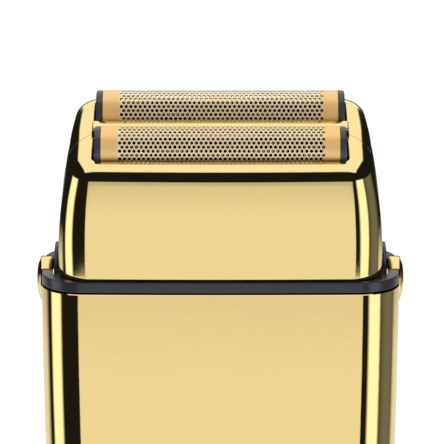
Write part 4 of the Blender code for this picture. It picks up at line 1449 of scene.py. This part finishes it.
@dataclass
class Studio:
    """Plain pale floor, even light, and the panels that the polished metal mirrors."""

    dark: float = 0.013
    panels: tuple[Panel, ...] = (
        Panel(Way.AROUND, 0, 17, 1.2, -95, -1.0, 1, 0.8, 0.62),
        Panel(Way.AROUND, 0, 17, 1.2, -95, -9.0, 1, 6.0, 1.0),
        Panel(Way.AROUND, 0, 181, 1, -95, -22.5, 1, 1.5, 0.85),
        Panel(Way.AROUND, -82, 16, 5, -60, 10, 5, 6, 1.42),
        Panel(Way.AROUND, 50, 16, 5, -60, 10, 5, 6, 1.42),
        Panel(Way.AROUND, 95, 24, 18, -60, 10, 5, 6, 0.2),
        Panel(Way.AROUND, 180, 62, 10, -95, -14.5, 5, 3.0, 0.9),
        Panel(Way.OVER, 0, 27, 1.5, 66, 165, 2, 6, 1.15),
    )

    def build_world(self) -> None:
        """Build the world: even light for soft surfaces, and panels for glossy ones."""
        world = bpy.data.worlds.new("studio")
        bpy.context.scene.world = world
        world.use_nodes = True
        world.cycles.sampling_method = "NONE"
        tree = world.node_tree
        tree.nodes.clear()
        direction = add(tree, "ShaderNodeTexCoord").outputs["Generated"]
        x, y, z = add(tree, "ShaderNodeSeparateXYZ", None, Vector=direction).outputs
        front = math(tree, "MULTIPLY", y, -1.0)
        around = math(tree, "ARCTAN2", x, front)
        height = math(tree, "ARCSINE", z)
        over = math(tree, "ARCTAN2", z, front)
        lateral = math(tree, "ARCSINE", x)
        glow = self.dark
        for panel in self.panels:
            across, along = (around, height) if panel.way is Way.AROUND else (lateral, over)
            glow = math(tree, "MAXIMUM", glow, self.panel(tree, panel, across, along))
        path = add(tree, "ShaderNodeLightPath").outputs
        even = math(tree, "MULTIPLY_ADD", path["Is Camera Ray"], -0.09, 1.09)
        value = add(tree, "ShaderNodeMix", {"data_type": "FLOAT"}, n0=path["Is Glossy Ray"], n2=even, n3=glow)
        light = add(tree, "ShaderNodeBackground", None, Color=(1, 1, 1, 1), Strength=value.outputs[0])
        out = add(tree, "ShaderNodeOutputWorld")
        tree.links.new(light.outputs[0], out.inputs[0])

    @staticmethod
    def panel(tree: Tree, panel: Panel, across: Socket, along: Socket) -> Socket:
        """The brightness of one panel in each direction.

        Args:
            tree: The world's tree.
            panel: The panel.
            across: The angle that its middle and half width are counted in.
            along: The angle that its low and high ends are counted in.

        Returns:
            A socket with its brightness.
        """
        away = math(tree, "SUBTRACT", across, radians(panel.middle))
        away = math(tree, "ABSOLUTE", math(tree, "WRAP", away, pi, -pi))
        smooth = {"interpolation_type": "SMOOTHSTEP"}

        def fade(value: Socket, start: float, end: float) -> Socket:
            """1 before start and 0 after end, both in degrees."""
            return add(
                tree, "ShaderNodeMapRange", smooth, Value=value, From_Min=radians(start), From_Max=radians(end),
                To_Min=1.0, To_Max=0.0,
            ).outputs[0]

        wide = fade(away, panel.half - panel.soft, panel.half + panel.soft)
        below = fade(along, panel.high - panel.high_soft, panel.high + panel.high_soft)
        above = fade(math(tree, "MULTIPLY", along, -1.0), -panel.low - panel.low_soft, -panel.low + panel.low_soft)
        shape = math(tree, "MULTIPLY", wide, math(tree, "MULTIPLY", below, above))
        return math(tree, "MULTIPLY", shape, panel.strength)

    def build_floor(self) -> None:
        """Build the plain pale floor that the shaver stands on."""
        shape = bmesh.new()
        bmesh.ops.create_grid(shape, x_segments=1, y_segments=1, size=4.0)
        bmesh.ops.translate(shape, verts=shape.verts, vec=(0, 0, CAD_BOX[0][2]))
        mesh = bpy.data.meshes.new("floor")
        shape.to_mesh(mesh)
        shape.free()
        floor = bpy.data.objects.new("floor", mesh)
        bpy.context.scene.collection.objects.link(floor)
        finish = Finish("pale_floor", (0.99, 0.99, 0.99), 0.9, tint=(0.97, 0.97, 0.97), grain_scale=900.0, slope=0.01)
        mesh.materials.append(finish.material())
        floor.visible_glossy = False

    def build(self) -> None:
        """Build the world and the floor."""
        self.build_world()
        self.build_floor()
        bpy.context.scene.view_settings.view_transform = "Standard"


@dataclass
class Viewpoint:
    """The camera, in front of the shaver and a little above it."""

    distance: float = 0.5254
    height: float = 0.2632
    pitch: float = radians(14.6)
    lens: float = 245.5
    shift: float = 0.0036

    def build(self) -> None:
        """Build the camera and make it the scene's."""
        data = bpy.data.cameras.new("camera")
        data.lens = self.lens
        data.shift_x = self.shift
        data.clip_start = 0.01
        camera = bpy.data.objects.new("camera", data)
        camera.location = (0, -self.distance, self.height)
        camera.rotation_euler = (pi / 2 - self.pitch, 0, 0)
        bpy.context.scene.collection.objects.link(camera)
        bpy.context.scene.camera = camera


def main() -> None:
    """Build the shaver's looks from the head down, then the studio."""
    logging.basicConfig(level=logging.INFO, format="%(message)s")
    dress_cad()
    HeadCover().build()
    for row in ROWS:
        FoilUnit(row).build()
        Cutter(row).build()
    Shoulder().build()
    for side in SIDES:
        ReleaseButton(side).build()
    handle = Handle()
    slider = PowerSlider()
    handle.build_shells(slider)
    handle.build_base()
    slider.build(handle)
    Drive().build()
    Studio().build()
    Viewpoint().build()


if __name__ == "__main__":
    main()
